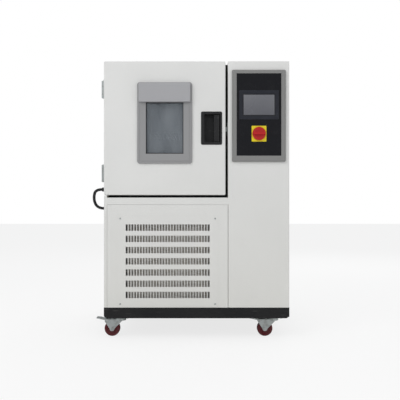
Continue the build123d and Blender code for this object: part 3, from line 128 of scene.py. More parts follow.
def close_up(piece, smooth_angle=35):
    """Merge doubled points, turn the normals outwards and shade curved faces smooth."""
    select_only(piece)
    bpy.ops.object.mode_set(mode="EDIT")
    bpy.ops.mesh.select_all(action="SELECT")
    bpy.ops.mesh.remove_doubles(threshold=1e-6)
    bpy.ops.mesh.normals_make_consistent(inside=False)
    bpy.ops.object.mode_set(mode="OBJECT")
    bpy.ops.object.shade_smooth_by_angle(angle=radians(smooth_angle))
    return piece


def copy_of(piece, name, move):
    """A second piece with a mesh of its own, moved by a vector."""
    twin = piece.copy()
    twin.data = piece.data.copy()
    twin.name = name
    twin.data.transform(Matrix.Translation(Vector(move)))
    bpy.context.scene.collection.objects.link(twin)
    return twin


# %% [markdown]
# ## Shader arithmetic
# A finish is mostly arithmetic on patterns: a little of this noise times that one, clamped and
# mixed into a colour. Wrapping an output in a small class lets the formulas below read like
# formulas.


# %% A value that can be calculated with
class Value:
    """One output of a node. Each operator adds the Math node that it names."""

    def __init__(self, finish, socket):
        self.finish = finish
        self.socket = socket

    def math(self, operation, first, second):
        return self.finish.node("ShaderNodeMath", {"operation": operation}, {0: first, 1: second})

    def __add__(self, other):
        return self.math("ADD", self, other)

    __radd__ = __add__

    def __mul__(self, other):
        return self.math("MULTIPLY", self, other)

    __rmul__ = __mul__

    def __sub__(self, other):
        return self.math("SUBTRACT", self, other)

    def __rsub__(self, other):
        return self.math("SUBTRACT", other, self)

    def size(self):
        return self.math("ABSOLUTE", self, 0)

    def between(self, low, high):
        """0 below low, 1 above high, and a straight slope between them."""
        limits = {"Value": self, "From Min": low, "From Max": high}
        return self.finish.node("ShaderNodeMapRange", {"clamp": True}, limits)


class Finish:
    """A material being built: one Principled shader, fed by patterns in the piece's own coordinates."""

    def __init__(self, name, **constants):
        self.material = bpy.data.materials.new(name)
        self.material.use_nodes = True
        self.tree = self.material.node_tree
        self.shader = self.tree.nodes["Principled BSDF"]
        for socket, value in constants.items():
            self.shader.inputs[socket.replace("_", " ")].default_value = value
        self.place = self.node("ShaderNodeTexCoord", {}, {}, "Object")

    def node(self, kind, settings, inputs, output=0):
        """Add any node: its settings first, then its inputs, by name or number."""
        made = self.tree.nodes.new(kind)
        for key, value in settings.items():
            setattr(made, key, value)
        for key, value in inputs.items():
            if isinstance(value, Value):
                self.tree.links.new(value.socket, made.inputs[key])
            else:
                made.inputs[key].default_value = value
        return Value(self, made.outputs[output])

    def feed(self, socket, value):
        self.tree.links.new(value.socket, self.shader.inputs[socket])

    def placed(self, centre=(0, 0, 0), scale=(1, 1, 1)):
        """The piece's coordinates, centred on a point and stretched."""
        from_centre = {"operation": "SUBTRACT"}
        centred = self.node("ShaderNodeVectorMath", from_centre, {0: self.place, 1: centre})
        return self.node("ShaderNodeMapping", {}, {"Vector": centred, "Scale": scale})

    def noise(self, scale, detail=3, stretch=(1, 1, 1), rough=0.5):
        inputs = {"Vector": self.placed(scale=stretch), "Scale": scale}
        inputs.update({"Detail": detail, "Roughness": rough})
        return self.node("ShaderNodeTexNoise", {}, inputs)

    def cells(self, scale, feature="F1", stretch=(1, 1, 1)):
        inputs = {"Vector": self.placed(scale=stretch), "Scale": scale}
        return self.node("ShaderNodeTexVoronoi", {"feature": feature}, inputs)

    def axis(self, name, centre=(0, 0, 0)):
        """One coordinate of the point, in metres from a centre."""
        return self.node("ShaderNodeSeparateXYZ", {}, {"Vector": self.placed(centre)}, name)

    def mix(self, factor, first, second):
        """A colour between two colours."""
        inputs = {0: factor, 6: first, 7: second}
        return self.node("ShaderNodeMix", {"data_type": "RGBA"}, inputs, 2)

    def bump(self, height, strength, distance):
        inputs = {"Height": height, "Strength": strength, "Distance": distance}
        self.feed("Normal", self.node("ShaderNodeBump", {}, inputs))


def rgb(red, green, blue):
    return (red, green, blue, 1)


def shade(colour, amount):
    """The same colour, darker below 1 and lighter above."""
    return rgb(*[min(channel * amount, 1) for channel in colour[:3]])


def dress(finish, *names):
    """Give a finish to CAD nodes or to new pieces, as their only material."""
    for name in names:
        piece = nodes[name] if isinstance(name, str) else name
        piece.data.materials.clear()
        piece.data.materials.append(finish.material)

    print(finish.material.name, "on", ", ".join(n if isinstance(n, str) else n.name for n in names))


# %% [markdown]
# ## Powder coat
# The cabinet is powder coated: the melted powder leaves a fine orange peel, which shows only as a
# broken edge on reflections. Hands and trolleys leave duller patches, so the roughness and the
# colour drift slowly over the panels. Lower down the colour is painted darker and a little yellower
# towards the floor: painted shade.


# %% Powder coat
def powder_coat(name, colour, roughness=0.42, peel=0.10):
    finish = Finish(name, Specular_IOR_Level=0.4)
    drift = finish.noise(2.3, detail=2).between(0.3, 0.7)
    smudges = finish.noise(11, detail=4).between(0.45, 0.75)
    specks = finish.noise(330, detail=1).between(0.70, 0.78)
    # painted shade: the colour is painted darker and a little yellower towards the floor
    painted_floor_shade = 1 - finish.axis("Z").between(0.1, 0.95)
    clean = finish.mix(drift, shade(colour, 0.965), shade(colour, 1.02))
    dusty_and_shaded = finish.mix(painted_floor_shade * 0.55, clean, rgb(colour[0] * 0.90, colour[1] * 0.89, colour[2] * 0.84))
    finish.feed("Base Color", finish.mix(specks * 0.16, dusty_and_shaded, shade(colour, 0.45)))
    finish.feed("Roughness", roughness + 0.16 * smudges - 0.04 * drift)
    finish.bump(finish.noise(520, detail=2), peel, 0.0006)
    return finish


cabinet_white = powder_coat("cabinet powder coat", rgb(0.80, 0.80, 0.785))
window_grey = powder_coat("window frame coat", rgb(0.315, 0.315, 0.32), roughness=0.38)
cover_grey = powder_coat("lamp cover coat", rgb(0.41, 0.41, 0.425), roughness=0.40)
bezel_grey = powder_coat("control bezel coat", rgb(0.245, 0.245, 0.24), roughness=0.45)
dress(cabinet_white, "left_side_panel", "right_side_panel", "rear_panel", "top_panel")
dress(cabinet_white, "column_front_panel", "lower_front_panel", "grille_panel", "door_skin")
dress(window_grey, "window_frame")
dress(cover_grey, "lamp_cover")
dress(bezel_grey, "control_bezel")


# %% [markdown]
# ## Black enamel
# The plinth and the frame behind the door are brushed black. Feet and pallets scuff the plinth
# along its length: a noise stretched sideways gives long pale scratches, which a threshold keeps
# rare.


# %% Black enamel
def black_enamel(name, roughness=0.38):
    finish = Finish(name, Specular_IOR_Level=0.3)
    scratches = finish.noise(70, detail=5, stretch=(0.12, 1, 2.4)).between(0.66, 0.74)
    dust = finish.noise(7, detail=4).between(0.40, 0.80)
    clean = finish.mix(dust * 0.35, rgb(0.006, 0.006, 0.007), rgb(0.03, 0.029, 0.027))
    finish.feed("Base Color", finish.mix(scratches * 0.5, clean, rgb(0.14, 0.14, 0.135)))
    finish.feed("Roughness", roughness + 0.25 * dust + 0.1 * scratches)
    finish.bump(finish.noise(260, detail=2) - scratches * 0.5, 0.12, 0.0005)
    return finish


enamel = black_enamel("black enamel")
dress(enamel, "plinth", "inner_frame", "fan_motors")

# %% [markdown]
# ## Brushed and plated metal
# Stainless sheet is brushed one way: the grain is a noise stretched some two hundred times along
# the rolling direction. Zinc plate is different, a quilt of small crystals, so it takes its
# variation from cells.


# %% Brushed stainless
def brushed(name, colour, grain, roughness=0.26, metallic=1.0):
    finish = Finish(name, Metallic=metallic)
    streaks = finish.noise(900, detail=3, stretch=grain)
    fingers = finish.noise(14, detail=4).between(0.5, 0.75)
    finish.feed("Base Color", finish.mix(streaks, shade(colour, 0.82), shade(colour, 1.10)))
    finish.feed("Roughness", roughness + 0.16 * streaks + 0.14 * fingers)
    finish.bump(streaks, 0.10, 0.0003)
    return finish


def zinc_plated(name, colour=rgb(0.50, 0.53, 0.52), roughness=0.34):
    finish = Finish(name, Metallic=0.9)
    crystals = finish.cells(420)
    stains = finish.noise(45, detail=5).between(0.48, 0.72)
    finish.feed("Base Color", finish.mix(stains * 0.55, colour, rgb(0.30, 0.29, 0.26)))
    finish.feed("Roughness", roughness + 0.25 * crystals + 0.2 * stains)
    finish.bump(crystals, 0.08, 0.0004)
    return finish


liner_steel = brushed("stainless liner", rgb(0.60, 0.62, 0.64), (0.005, 0.005, 1), roughness=0.33)
rod_steel = brushed("stainless rod", rgb(0.66, 0.66, 0.65), (1, 0.01, 1), roughness=0.22)
bright_zinc = zinc_plated("bright zinc")
dress(liner_steel, "chamber_liner", "air_duct_baffle", "door_liner", "shelf_rails", "cable_port_sleeve")
dress(rod_steel, "wire_shelf", "temperature_sensors", "drain_stub")
dress(bright_zinc, "panel_screws", "hinge_cabinet_leaves", "hinge_door_leaves", "caster_plates")
dress(bright_zinc, "latch_strike", "latch_bolt")
dress(bright_zinc, *[f"caster_fork_{corner}" for corner in CORNERS])


# %% [markdown]
# The heater has been red hot: its sheath is blued and dull. The evaporator and the condenser are
# thin aluminium fins, which pick up a brown film of dust on the side that draws air in.


# %% Heater and fins
def heated_tube():
    finish = Finish("blued heater tube", Metallic=0.8)
    bands = finish.noise(30, detail=3).between(0.35, 0.65)
    finish.feed("Base Color", finish.mix(bands, rgb(0.16, 0.13, 0.12), rgb(0.17, 0.19, 0.26)))
    finish.feed("Roughness", 0.4 + 0.25 * bands)
    finish.bump(finish.noise(400, detail=2), 0.15, 0.0004)
    return finish


def dusty_fins(name, metal, film, amount):
    finish = Finish(name, Metallic=0.55)
    fluff = finish.noise(60, detail=5).between(0.35, 0.7)
    across = {"bands_direction": "Z"}
    flutes = finish.node("ShaderNodeTexWave", across, {"Vector": finish.place, "Scale": 90})
    finish.feed("Base Color", finish.mix(fluff * amount, metal, film))
    finish.feed("Roughness", 0.42 + 0.3 * fluff)
    finish.bump(flutes + fluff * 0.5, 0.25, 0.0008)
    return finish


dress(heated_tube(), "heater_coil")
dress(dusty_fins("evaporator fins", rgb(0.62, 0.64, 0.66), rgb(0.45, 0.46, 0.46), 0.3), "evaporator")
dress(dusty_fins("condenser fins", rgb(0.72, 0.70, 0.66), rgb(0.46, 0.41, 0.35), 0.7), "condenser")
dress(brushed("fan alloy", rgb(0.55, 0.56, 0.57), (1, 0.02, 1), roughness=0.4), "circulation_fan")


# %% [markdown]
# ## Moulded plastics
# An injection mould is spark eroded, and the part carries that fine grain. Gloss parts are
# polished instead, but they show greasy patches. Both come from one recipe with a different depth
# of grain.


# %% Plastics
def moulded(name, colour, roughness, grain=0.12, worn=0.25, coat=0.0, dusty_and_shaded=0.12):
    finish = Finish(name, Specular_IOR_Level=0.38, Coat_Weight=coat, Coat_Roughness=0.12)
    rubbed = finish.noise(26, detail=4).between(0.48, 0.72)
    dust = finish.noise(150, detail=2).between(0.62, 0.80)
    plain = finish.mix(rubbed * worn, colour, shade(colour, 1.25))
    finish.feed("Base Color", finish.mix(dust * dusty_and_shaded, plain, rgb(0.45, 0.43, 0.40)))
    finish.feed("Roughness", roughness + 0.18 * rubbed)
    finish.bump(finish.noise(1400, detail=1), grain, 0.0003)
    return finish


black_grain = moulded("black moulding", rgb(0.012, 0.012, 0.013), 0.42)
black_gloss = moulded(
    "black control plate", rgb(0.004, 0.004, 0.006), 0.16, grain=0.02, worn=0.15, dusty_and_shaded=0.012
)
screen_shell = moulded("touch screen shell", rgb(0.016, 0.018, 0.026), 0.34, grain=0.05, dusty_and_shaded=0.02)
yellow_gloss = moulded("yellow switch base", rgb(0.84, 0.70, 0.02), 0.33, grain=0.03, worn=0.1)
red_gloss = moulded("red switch knob", rgb(0.52, 0.010, 0.010), 0.28, grain=0.03, coat=0.3)
switchgear_grey = moulded("switchgear", rgb(0.30, 0.31, 0.32), 0.45)
dress(black_grain, "handle_cup", "handle_lever", "cable_glands", "door_conduit_gland", "door_conduit")
dress(black_grain, "condenser_fan")
dress(bright_zinc, "brake_pedal_front_left", "brake_pedal_front_right")
dress(black_gloss, "control_plate")
dress(screen_shell, "touch_screen")
dress(yellow_gloss, "switch_base")
dress(red_gloss, "switch_knob")
dress(switchgear_grey, "electrical_plate")
compressor_enamel = moulded("compressor shell", rgb(0.010, 0.010, 0.011), 0.3, grain=0.2, coat=0.4)
dress(compressor_enamel, "compressor_and_pipes")


# %% [markdown]
# ## Rubber, silicone, foam and the wheels' polyurethane
# Rubber blooms: a pale film rises on the surface and wipes off unevenly. Cast foam is full of
# small closed cells.


# %% Soft materials
def bloomed(name, colour, bloom, roughness=0.6, amount=0.5):
    finish = Finish(name, Specular_IOR_Level=0.25)
    film = finish.noise(35, detail=5).between(0.42, 0.75)
    pores = finish.cells(900)
    finish.feed("Base Color", finish.mix(film * amount, colour, bloom))
    finish.feed("Roughness", roughness + 0.2 * film)
    finish.bump(pores, 0.12, 0.0004)
    return finish


def cast_foam(name):
    finish = Finish(name, Specular_IOR_Level=0.2)
    cells = finish.cells(420)
    tint = finish.noise(8, detail=3)
    finish.feed("Base Color", finish.mix(tint, rgb(0.62, 0.55, 0.36), rgb(0.78, 0.72, 0.54)))
    finish.feed("Roughness", 0.7 + 0.2 * cells)
    finish.bump(cells, 0.5, 0.001)
    return finish


seal_rubber = bloomed("black seal rubber", rgb(0.008, 0.008, 0.009), rgb(0.05, 0.05, 0.052))
polyurethane = bloomed("wheel polyurethane", rgb(0.095, 0.008, 0.012), rgb(0.16, 0.08, 0.075), 0.34, 0.4)
dress(seal_rubber, "door_gasket")
dress(bloomed("silicone plug", rgb(0.74, 0.73, 0.68), rgb(0.60, 0.58, 0.52), 0.5), "port_plug")
dress(cast_foam("polyurethane foam"), "chamber_insulation", "door_insulation")
dress(polyurethane, *[f"caster_wheel_{corner}" for corner in CORNERS])


# %% [markdown]
# ## Glass and the lamp
# The window has three panes. Each lets most light through and holds a faint grey-blue veil of
# dust and coating, which is uneven, as wiped glass is. The lamp behind its cover glows a warm
# white.


# %% Glass and lamp
def pane_glass():
    finish = Finish("window glass", Roughness=0.06, Specular_IOR_Level=0.6)
    wiped = finish.noise(16, detail=4, stretch=(1, 1, 0.3)).between(0.35, 0.75)
    finish.feed("Base Color", finish.mix(wiped, rgb(0.34, 0.38, 0.42), rgb(0.46, 0.50, 0.54)))
    finish.feed("Alpha", 0.16 + 0.06 * wiped)
    return finish


def tube_light():
    finish = Finish("lamp tube", Emission_Strength=2.0, Roughness=0.2)
    ends = finish.noise(20, detail=2)
    finish.feed("Emission Color", finish.mix(ends, rgb(1.0, 0.95, 0.86), rgb(1.0, 0.90, 0.76)))
    finish.feed("Base Color", finish.mix(ends, rgb(0.9, 0.9, 0.88), rgb(0.8, 0.8, 0.78)))
    return finish


dress(pane_glass(), "window_glass")
dress(tube_light(), "window_lamp")

# %% [markdown]
# ## The window frame
# The frame is a pressing with a rounded bead round its outside, a fine groove inside the bead,
# and a face that falls gently to the glass. A presser works from the outside in, and so does the
# model: a rounded plate is pulled forward, its rim is rolled over, and each further step is an
# inset of the front face. The last of them is stretched to the opening, pushed back to the glass
# and cut away.


# %% Window frame
def middle_of(low, high):
    return Vector([(a + b) / 2 for a, b in zip(low, high)])


def upright_plate(name, width, height, at, corner):
    """A rounded rectangle that faces the front, made from a plane whose corners are rounded."""
    bpy.ops.object.select_all(action="DESELECT")
    bpy.ops.mesh.primitive_plane_add(size=1, location=at, rotation=(pi / 2, 0, 0))
    plate = bpy.context.object
    plate.name = name
    plate.scale = (width, height, 1)
    settle(plate)
    pick_faces(plate, lambda face: True)
    bpy.ops.mesh.bevel(offset=corner, segments=8, affect="VERTICES")
    return plate


def resize_selection(piece, width, height, at):
    """Stretch the selected face to a width and height and move its middle, in its own plane."""
    bpy.ops.object.mode_set(mode="OBJECT")
    picked = [face for face in piece.data.polygons if face.select]
    points = [piece.data.vertices[v].co for face in picked for v in face.vertices]
    low = [min(p[axis] for p in points) for axis in range(3)]
    high = [max(p[axis] for p in points) for axis in range(3)]
    now = middle_of(low, high)
    bpy.ops.object.mode_set(mode="EDIT")
    stretch = (width / (high[0] - low[0]), 1, height / (high[2] - low[2]))
    bpy.ops.transform.resize(value=stretch, center_override=now)
    bpy.ops.transform.translate(value=(at.x - now.x, 0, at.z - now.z))


frame_corner = 14 * MM
bead_roll = 3.5 * MM
bead_width = 7 * MM
groove_wall = 1.0 * MM
groove_depth = 1.4 * MM
groove_floor = 1.4 * MM
land_rise = 1.0 * MM
land_edge = 1.0 * MM
fall_to_glass = 2.4 * MM
reveal = 6 * MM

frame_low, frame_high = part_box("window_frame")
glass_low, glass_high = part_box("window_glass")
frame_size = frame_high - frame_low
glass_size = glass_high - glass_low
frame_middle = middle_of(frame_low, frame_high)
glass_middle = middle_of(glass_low, glass_high)
back_of_frame = (frame_middle.x, frame_high.y, frame_middle.z)
window_frame = upright_plate(
    "pressed_window_frame", frame_size.x, frame_size.z, back_of_frame, frame_corner
)
pick_faces(window_frame, lambda face: True)
bpy.ops.mesh.extrude_region_move(TRANSFORM_OT_translate={"value": (0, -frame_size.y, 0)})
pick_edges(window_frame, lambda a, b: max(a.y, b.y) < frame_low.y + TOUCH)
bpy.ops.mesh.bevel(offset=bead_roll, segments=5, affect="EDGES")
pick_faces(window_frame, lambda face: face.normal.y < -0.999 and face.area > 0.01)
bpy.ops.mesh.inset(thickness=bead_width)
bpy.ops.mesh.inset(thickness=groove_wall, depth=-groove_depth)
bpy.ops.mesh.inset(thickness=groove_floor)
bpy.ops.mesh.inset(thickness=groove_wall, depth=land_rise)
bpy.ops.mesh.inset(thickness=land_edge)
resize_selection(window_frame, glass_size.x, glass_size.z, glass_middle)
bpy.ops.transform.translate(value=(0, fall_to_glass, 0))
bpy.ops.mesh.extrude_region_move(TRANSFORM_OT_translate={"value": (0, reveal, 0)})
bpy.ops.mesh.delete(type="FACE")
pick_faces(
    window_frame,
    lambda face: face.normal.y > 0.999 and abs(face.center.y - frame_high.y) < TOUCH,
)
bpy.ops.mesh.delete(type="FACE")
close_up(window_frame, 30)
dress(window_grey, window_frame)
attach(window_frame, "door")
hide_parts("window_frame")
print("window frame", len(window_frame.data.polygons), "faces")

# %% [markdown]
# ## The glazing seal
# Glass never bears on metal: a rubber strip closes the edge of the pane. Its ring starts as a
# plane at the size of the opening, inset by the width of the strip. The middle is deleted, the
# ring is pulled forward and its edges are rounded.

# %% Glazing seal
seal_width = 4 * MM
seal_height = 2 * MM
seal_play = 0.4 * MM
seal_corner = 3 * MM
seal_edge = 0.8 * MM

seat_of_seal = (glass_middle.x, glass_low.y, glass_middle.z)
glazing_seal = upright_plate(
    "glazing_seal", glass_size.x - seal_play, glass_size.z - seal_play, seat_of_seal, seal_corner
)
pick_faces(glazing_seal, lambda face: True)
bpy.ops.mesh.inset(thickness=seal_width)
bpy.ops.mesh.delete(type="FACE")
bpy.ops.mesh.select_all(action="SELECT")
bpy.ops.mesh.extrude_region_move(TRANSFORM_OT_translate={"value": (0, -seal_height, 0)})
pick_edges(glazing_seal, lambda a, b: max(a.y, b.y) < glass_low.y - seal_height + TOUCH)
bpy.ops.mesh.bevel(offset=seal_edge, segments=2, affect="EDGES")
close_up(glazing_seal)
dress(seal_rubber, glazing_seal)
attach(glazing_seal, "door")
print("glazing seal", len(glazing_seal.data.polygons), "faces")

# %% [markdown]
# ## Screws
# One button-head screw serves the whole cabinet. The head is a short cylinder with a rounded rim,
# and its cross recess is cut by two crossed bars. Each place gets a copy with a mesh of its own,
# turned as it happened to stop when it was driven home.


# %% Screws
def button_screw(radius, thickness):
    """A screw head with its seat on the plane y = 0, looking to the front."""
    bpy.ops.object.select_all(action="DESELECT")
    bpy.ops.mesh.primitive_cylinder_add(
        vertices=24,
        radius=radius,
        depth=thickness,
        location=(0, -thickness / 2, 0),
        rotation=(pi / 2, 0, 0),
    )
    head = settle(bpy.context.object)
    pick_edges(head, lambda a, b: max(a.y, b.y) < -thickness + 1e-6)
    bpy.ops.mesh.bevel(offset=thickness * 0.55, segments=3, affect="EDGES")
    bpy.ops.object.mode_set(mode="OBJECT")
    bar_length = radius * 1.15
    bar_width = radius * 0.22
    for across, upward in ((bar_length, bar_width), (bar_width, bar_length)):
        bpy.ops.object.select_all(action="DESELECT")
        bpy.ops.mesh.primitive_cube_add(size=1, location=(0, -thickness, 0))
        bar = bpy.context.object
        bar.scale = (across, thickness, upward)
        settle(bar)
        select_only(head)
        cut = head.modifiers.new("recess", "BOOLEAN")
        cut.operation = "DIFFERENCE"
        cut.object = bar
        bpy.ops.object.modifier_apply(modifier=cut.name)
        bpy.data.objects.remove(bar)
    return close_up(head, 30)


def place_screw(name, at, outward, turn, body):
    """A copy of the master screw, turned about its own axis and seated with its head outward."""
    screw = copy_of(screw_master, name, (0, 0, 0))
    screw.data.transform(Matrix.Rotation(radians(turn), 4, "Y"))
    aim = Vector((0, -1, 0)).rotation_difference(Vector(outward)).to_matrix().to_4x4()
    screw.data.transform(Matrix.Translation(Vector(at)) @ aim)
    dress(bright_zinc, screw)
    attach(screw, body)
    return screw


screw_radius = 4.5 * MM
screw_height = 2.0 * MM
screw_master = button_screw(screw_radius, screw_height)

# %% [markdown]
# Four screws hold the grille panel. The rear panel has a row of five down each edge.

# %% Screws of the grille panel and the rear panel
grille_screw_inset = 14 * MM
grille_low, grille_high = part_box("grille_panel")
grille_columns = (grille_low.x + grille_screw_inset, grille_high.x - grille_screw_inset)
grille_rows = (grille_low.z + grille_screw_inset, grille_high.z - grille_screw_inset)
grille_places = [(x, grille_low.y, z) for x in grille_columns for z in grille_rows]
for number, at in enumerate(grille_places):
    screw = place_screw(f"grille_screw_{number + 1}", at, (0, -1, 0), 37 * number, "cabinet")
    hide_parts("panel_screws")

rear_screw_inset = 12 * MM
rear_screw_rows = 5
rear_low, rear_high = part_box("rear_panel")
rear_columns = (rear_low.x + rear_screw_inset, rear_high.x - rear_screw_inset)
rear_pitch = (rear_high.z - rear_low.z - 2 * rear_screw_inset) / (rear_screw_rows - 1)
rear_heights = [rear_low.z + rear_screw_inset + row * rear_pitch for row in range(rear_screw_rows)]
rear_places = [(x, rear_high.y, z) for z in rear_heights for x in rear_columns]
for number, at in enumerate(rear_places, 1):
    place_screw(f"rear_screw_{number}", at, (0, 1, 0), 23 * number, "cabinet")
print("panel screws", len(grille_places) + len(rear_places))

# %% [markdown]
# Each hinge leaf has two screws, one above the other. The leaves on the cabinet lie behind the
# pin and those on the door lie before it.

# %% Screws of the hinge leaves
hinge_half_height = 44 * MM
leaf_reach = 48 * MM
leaf_thickness = 6 * MM
leaf_screw_offset = 28 * MM
leaf_screw_spread = 26 * MM

pin_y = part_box("hinge_cabinet_leaves")[1].y - leaf_reach
leaf_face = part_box("left_side_panel")[0].x - leaf_thickness
for leaves, body, side in (("hinge_cabinet_leaves", "cabinet", 1), ("hinge_door_leaves", "door", -1)):
    leaf_low, leaf_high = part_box(leaves)
    leaf_middles = (leaf_low.z + hinge_half_height, leaf_high.z - hinge_half_height)
    for level, leaf_middle in enumerate(leaf_middles):
        for step in (-1, 1):
            at = (leaf_face, pin_y + side * leaf_screw_offset, leaf_middle + step * leaf_screw_spread)
            turn = 31 * step + 50 * level
            place_screw(f"{body}_hinge_screw_{level}{step}", at, (-1, 0, 0), turn, body)
bpy.data.objects.remove(screw_master)

# %% [markdown]
# ## The caster wheels
# A wheel is a polyurethane tyre cast on a core, with a bearing cover on each side. The tyre is
# turned: a cylinder with rolled rims, whose sides are inset and pushed in to make the dish. The
# cover is a pale zinc ring round the axle bolt.


# %% Caster wheels
def disc(name, radius, width, at, vertices=48):
    """A cylinder that lies along Y."""
    bpy.ops.object.select_all(action="DESELECT")
    bpy.ops.mesh.primitive_cylinder_add(
        vertices=vertices, radius=radius, depth=width, location=at, rotation=(pi / 2, 0, 0)
    )
    turned = bpy.context.object
    turned.name = name
    return settle(turned)


def round_rims(wheel, radius, segments):
    """Roll over the two rims and leave the two flat sides selected."""
    pick_edges(wheel, lambda a, b: abs(a.y - b.y) < 1e-6)
    bpy.ops.mesh.bevel(offset=radius, segments=segments, affect="EDGES")
    pick_faces(wheel, lambda face: abs(face.normal.y) > 0.99 and face.area > 1e-4)


def step_in(width, depth=0):
    """Inset both sides at once, and push them in or out."""
    bpy.ops.mesh.inset(thickness=width, depth=depth, use_individual=True)


def tyre(name, radius, width, at):
    wheel = disc(name, radius, width, at, 64)
    round_rims(wheel, tyre_rim, 4)
    step_in(tyre_wall)
    step_in(dish_slope, -dish_depth)
    step_in(dish_width)
    step_in(boss_slope, boss_rise)
    return close_up(wheel)


def bearing_cover(name, radius, width, at):
    cover = disc(name, radius, width, at)
    round_rims(cover, cover_rim, 3)
    step_in(cover_ring)
    step_in(cover_slope, -cover_depth)
    return close_up(cover)


tread_width = 32 * MM
tyre_rim = 4 * MM
tyre_wall = 8 * MM
dish_slope = 1.5 * MM
dish_depth = 3.5 * MM
dish_width = 9 * MM
boss_slope = 1 * MM
boss_rise = 1.5 * MM
cover_radius = 12 * MM
cover_rim = 1.2 * MM
cover_ring = 3 * MM
cover_slope = 0.6 * MM
cover_depth = 0.8 * MM

for corner in CORNERS:
    node = f"caster_wheel_{corner}"
    wheel_low, wheel_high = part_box(node)
    wheel_size = wheel_high - wheel_low
    hub = middle_of(wheel_low, wheel_high)
    wheel = tyre(f"tyre_{corner}", wheel_size.z / 2, tread_width, hub)
    cover = bearing_cover(f"bearing_cover_{corner}", cover_radius, wheel_size.y, hub)
    dress(polyurethane, wheel)
    dress(bright_zinc, cover)
    for piece in (wheel, cover):
        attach(piece, node)
        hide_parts(node)
print("wheel radius", round(wheel_size.z / 2, 4))

# %% [markdown]
# ## The door hose
# The cables of the lamp and the latch switch in the door cross to the cabinet in a corrugated
# hose. It leaves the gland on the door's side, drops in a short bow and goes back into the
# cabinet through a second gland. The route is the one that the solid model follows, drawn as one
# smooth curve.

# %% Route of the door hose
hose_start_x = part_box("door_conduit")[1].x
door_gland_y, door_gland_z = -412 * MM, 764 * MM
side_gland_y, side_gland_z = -352 * MM, 666 * MM
hose_route = [
    (hose_start_x, door_gland_y, door_gland_z),
    (hose_start_x - 34 * MM, door_gland_y, door_gland_z),
    (hose_start_x - 48 * MM, door_gland_y + 22 * MM, door_gland_z - 40 * MM),
    (hose_start_x - 44 * MM, side_gland_y - 12 * MM, side_gland_z + 20 * MM),
    (hose_start_x - 22 * MM, side_gland_y, side_gland_z),
    (hose_start_x, side_gland_y, side_gland_z),
]
hose_curve = bpy.data.curves.new("hose_route", "CURVE")
hose_curve.dimensions = "3D"
hose_curve.resolution_u = 24
hose_spline = hose_curve.splines.new("NURBS")
hose_spline.points.add(len(hose_route) - 1)
for point, place in zip(hose_spline.points, hose_route):
    point.co = (*place, 1)
hose_spline.order_u = 3
hose_spline.use_endpoint_u = True
hose_line = bpy.data.objects.new("hose_route", hose_curve)
bpy.context.scene.collection.objects.link(hose_line)
bpy.context.view_layer.update()
line_mesh = bpy.data.meshes.new_from_object(hose_line)
hose_points = [vertex.co.copy() for vertex in line_mesh.vertices]
hose_length = sum((b - a).length for a, b in zip(hose_points, hose_points[1:]))
bpy.data.meshes.remove(line_mesh)
print("hose length", round(hose_length, 4), "points", len(hose_points))

# %% [markdown]
# One corrugation is a short open cylinder, cut round at two places so that its middle band can be
# swollen. An array repeats it to the length of the hose, and a curve modifier bends the row along
# the route.

# %% Door hose
hose_radius = 7.5 * MM
groove_radius = 6.4 * MM
corrugations = 52
hose_pitch = hose_length / corrugations
crest = (0.3 * hose_pitch, 0.7 * hose_pitch)

bpy.ops.object.select_all(action="DESELECT")
bpy.ops.mesh.primitive_cylinder_add(
    vertices=20,
    radius=groove_radius,
    depth=hose_pitch,
    end_fill_type="NOTHING",
    location=(hose_pitch / 2, 0, 0),
    rotation=(0, pi / 2, 0),
)
door_hose = settle(bpy.context.object)
door_hose.name = "corrugated_hose"
pick_faces(door_hose, lambda face: True)
for cut_at in crest:
    bpy.ops.mesh.select_all(action="SELECT")
    bpy.ops.mesh.bisect(plane_co=(cut_at, 0, 0), plane_no=(1, 0, 0))
pick_edges(door_hose, lambda a, b: all(crest[0] - TOUCH < end.x < crest[1] + TOUCH for end in (a, b)))
swell = hose_radius / groove_radius
bpy.ops.transform.resize(value=(1, swell, swell), center_override=(hose_pitch / 2, 0, 0))
select_only(door_hose)
row = door_hose.modifiers.new("row", "ARRAY")
row.count = corrugations
row.use_merge_vertices = True
row.merge_threshold = TOUCH
bend = door_hose.modifiers.new("bend", "CURVE")
bend.object = hose_line
bpy.ops.object.modifier_apply(modifier=row.name)
bpy.ops.object.modifier_apply(modifier=bend.name)
bpy.data.objects.remove(hose_line)
close_up(door_hose, 60)
dress(black_grain, door_hose)
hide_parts("door_conduit")
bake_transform(door_hose)
print("hose faces", len(door_hose.data.polygons), "box", [round(v, 4) for v in door_hose.dimensions])

# %% [markdown]
# ## The display
# The touch screen's glass lies in its recess. It is off: it shows a dull grey slab, painted lighter
# towards the top as a painted reflection, inside the dark border where the touch foil ends.


# %% Display glass
def display_finish(centre, half_width, half_height):
    finish = Finish("display glass", Roughness=0.22, Specular_IOR_Level=0.45)
    upward = finish.axis("Z", centre)
    across = finish.axis("X", centre).size()
    tall = upward.size()
    beside = across.between(half_width - foil_border, half_width - foil_border + foil_blur)
    beyond = tall.between(half_height - foil_border, half_height - foil_border + foil_blur)
    lit = (1 - beside) * (1 - beyond)
    # painted reflection: the grey slab is painted lighter towards the top of the screen
    painted_reflection_fall = upward.between(-half_height, half_height)
    cloud = finish.noise(9, detail=2)
    slab_and_reflection = finish.mix(painted_reflection_fall * 0.7 + cloud * 0.3, rgb(0.115, 0.118, 0.135), rgb(0.185, 0.188, 0.205))
    finish.feed("Base Color", finish.mix(lit, rgb(0.01, 0.01, 0.014), slab_and_reflection))
    finish.feed("Roughness", 0.2 + 0.15 * cloud)
    return finish


foil_border = 5 * MM
foil_blur = 0.5 * MM
display_width = 166 * MM
display_height = 112 * MM
display_depth = 1.5 * MM
display_gap = 0.2 * MM
display_thickness = 0.8 * MM
display_edge = 0.3 * MM

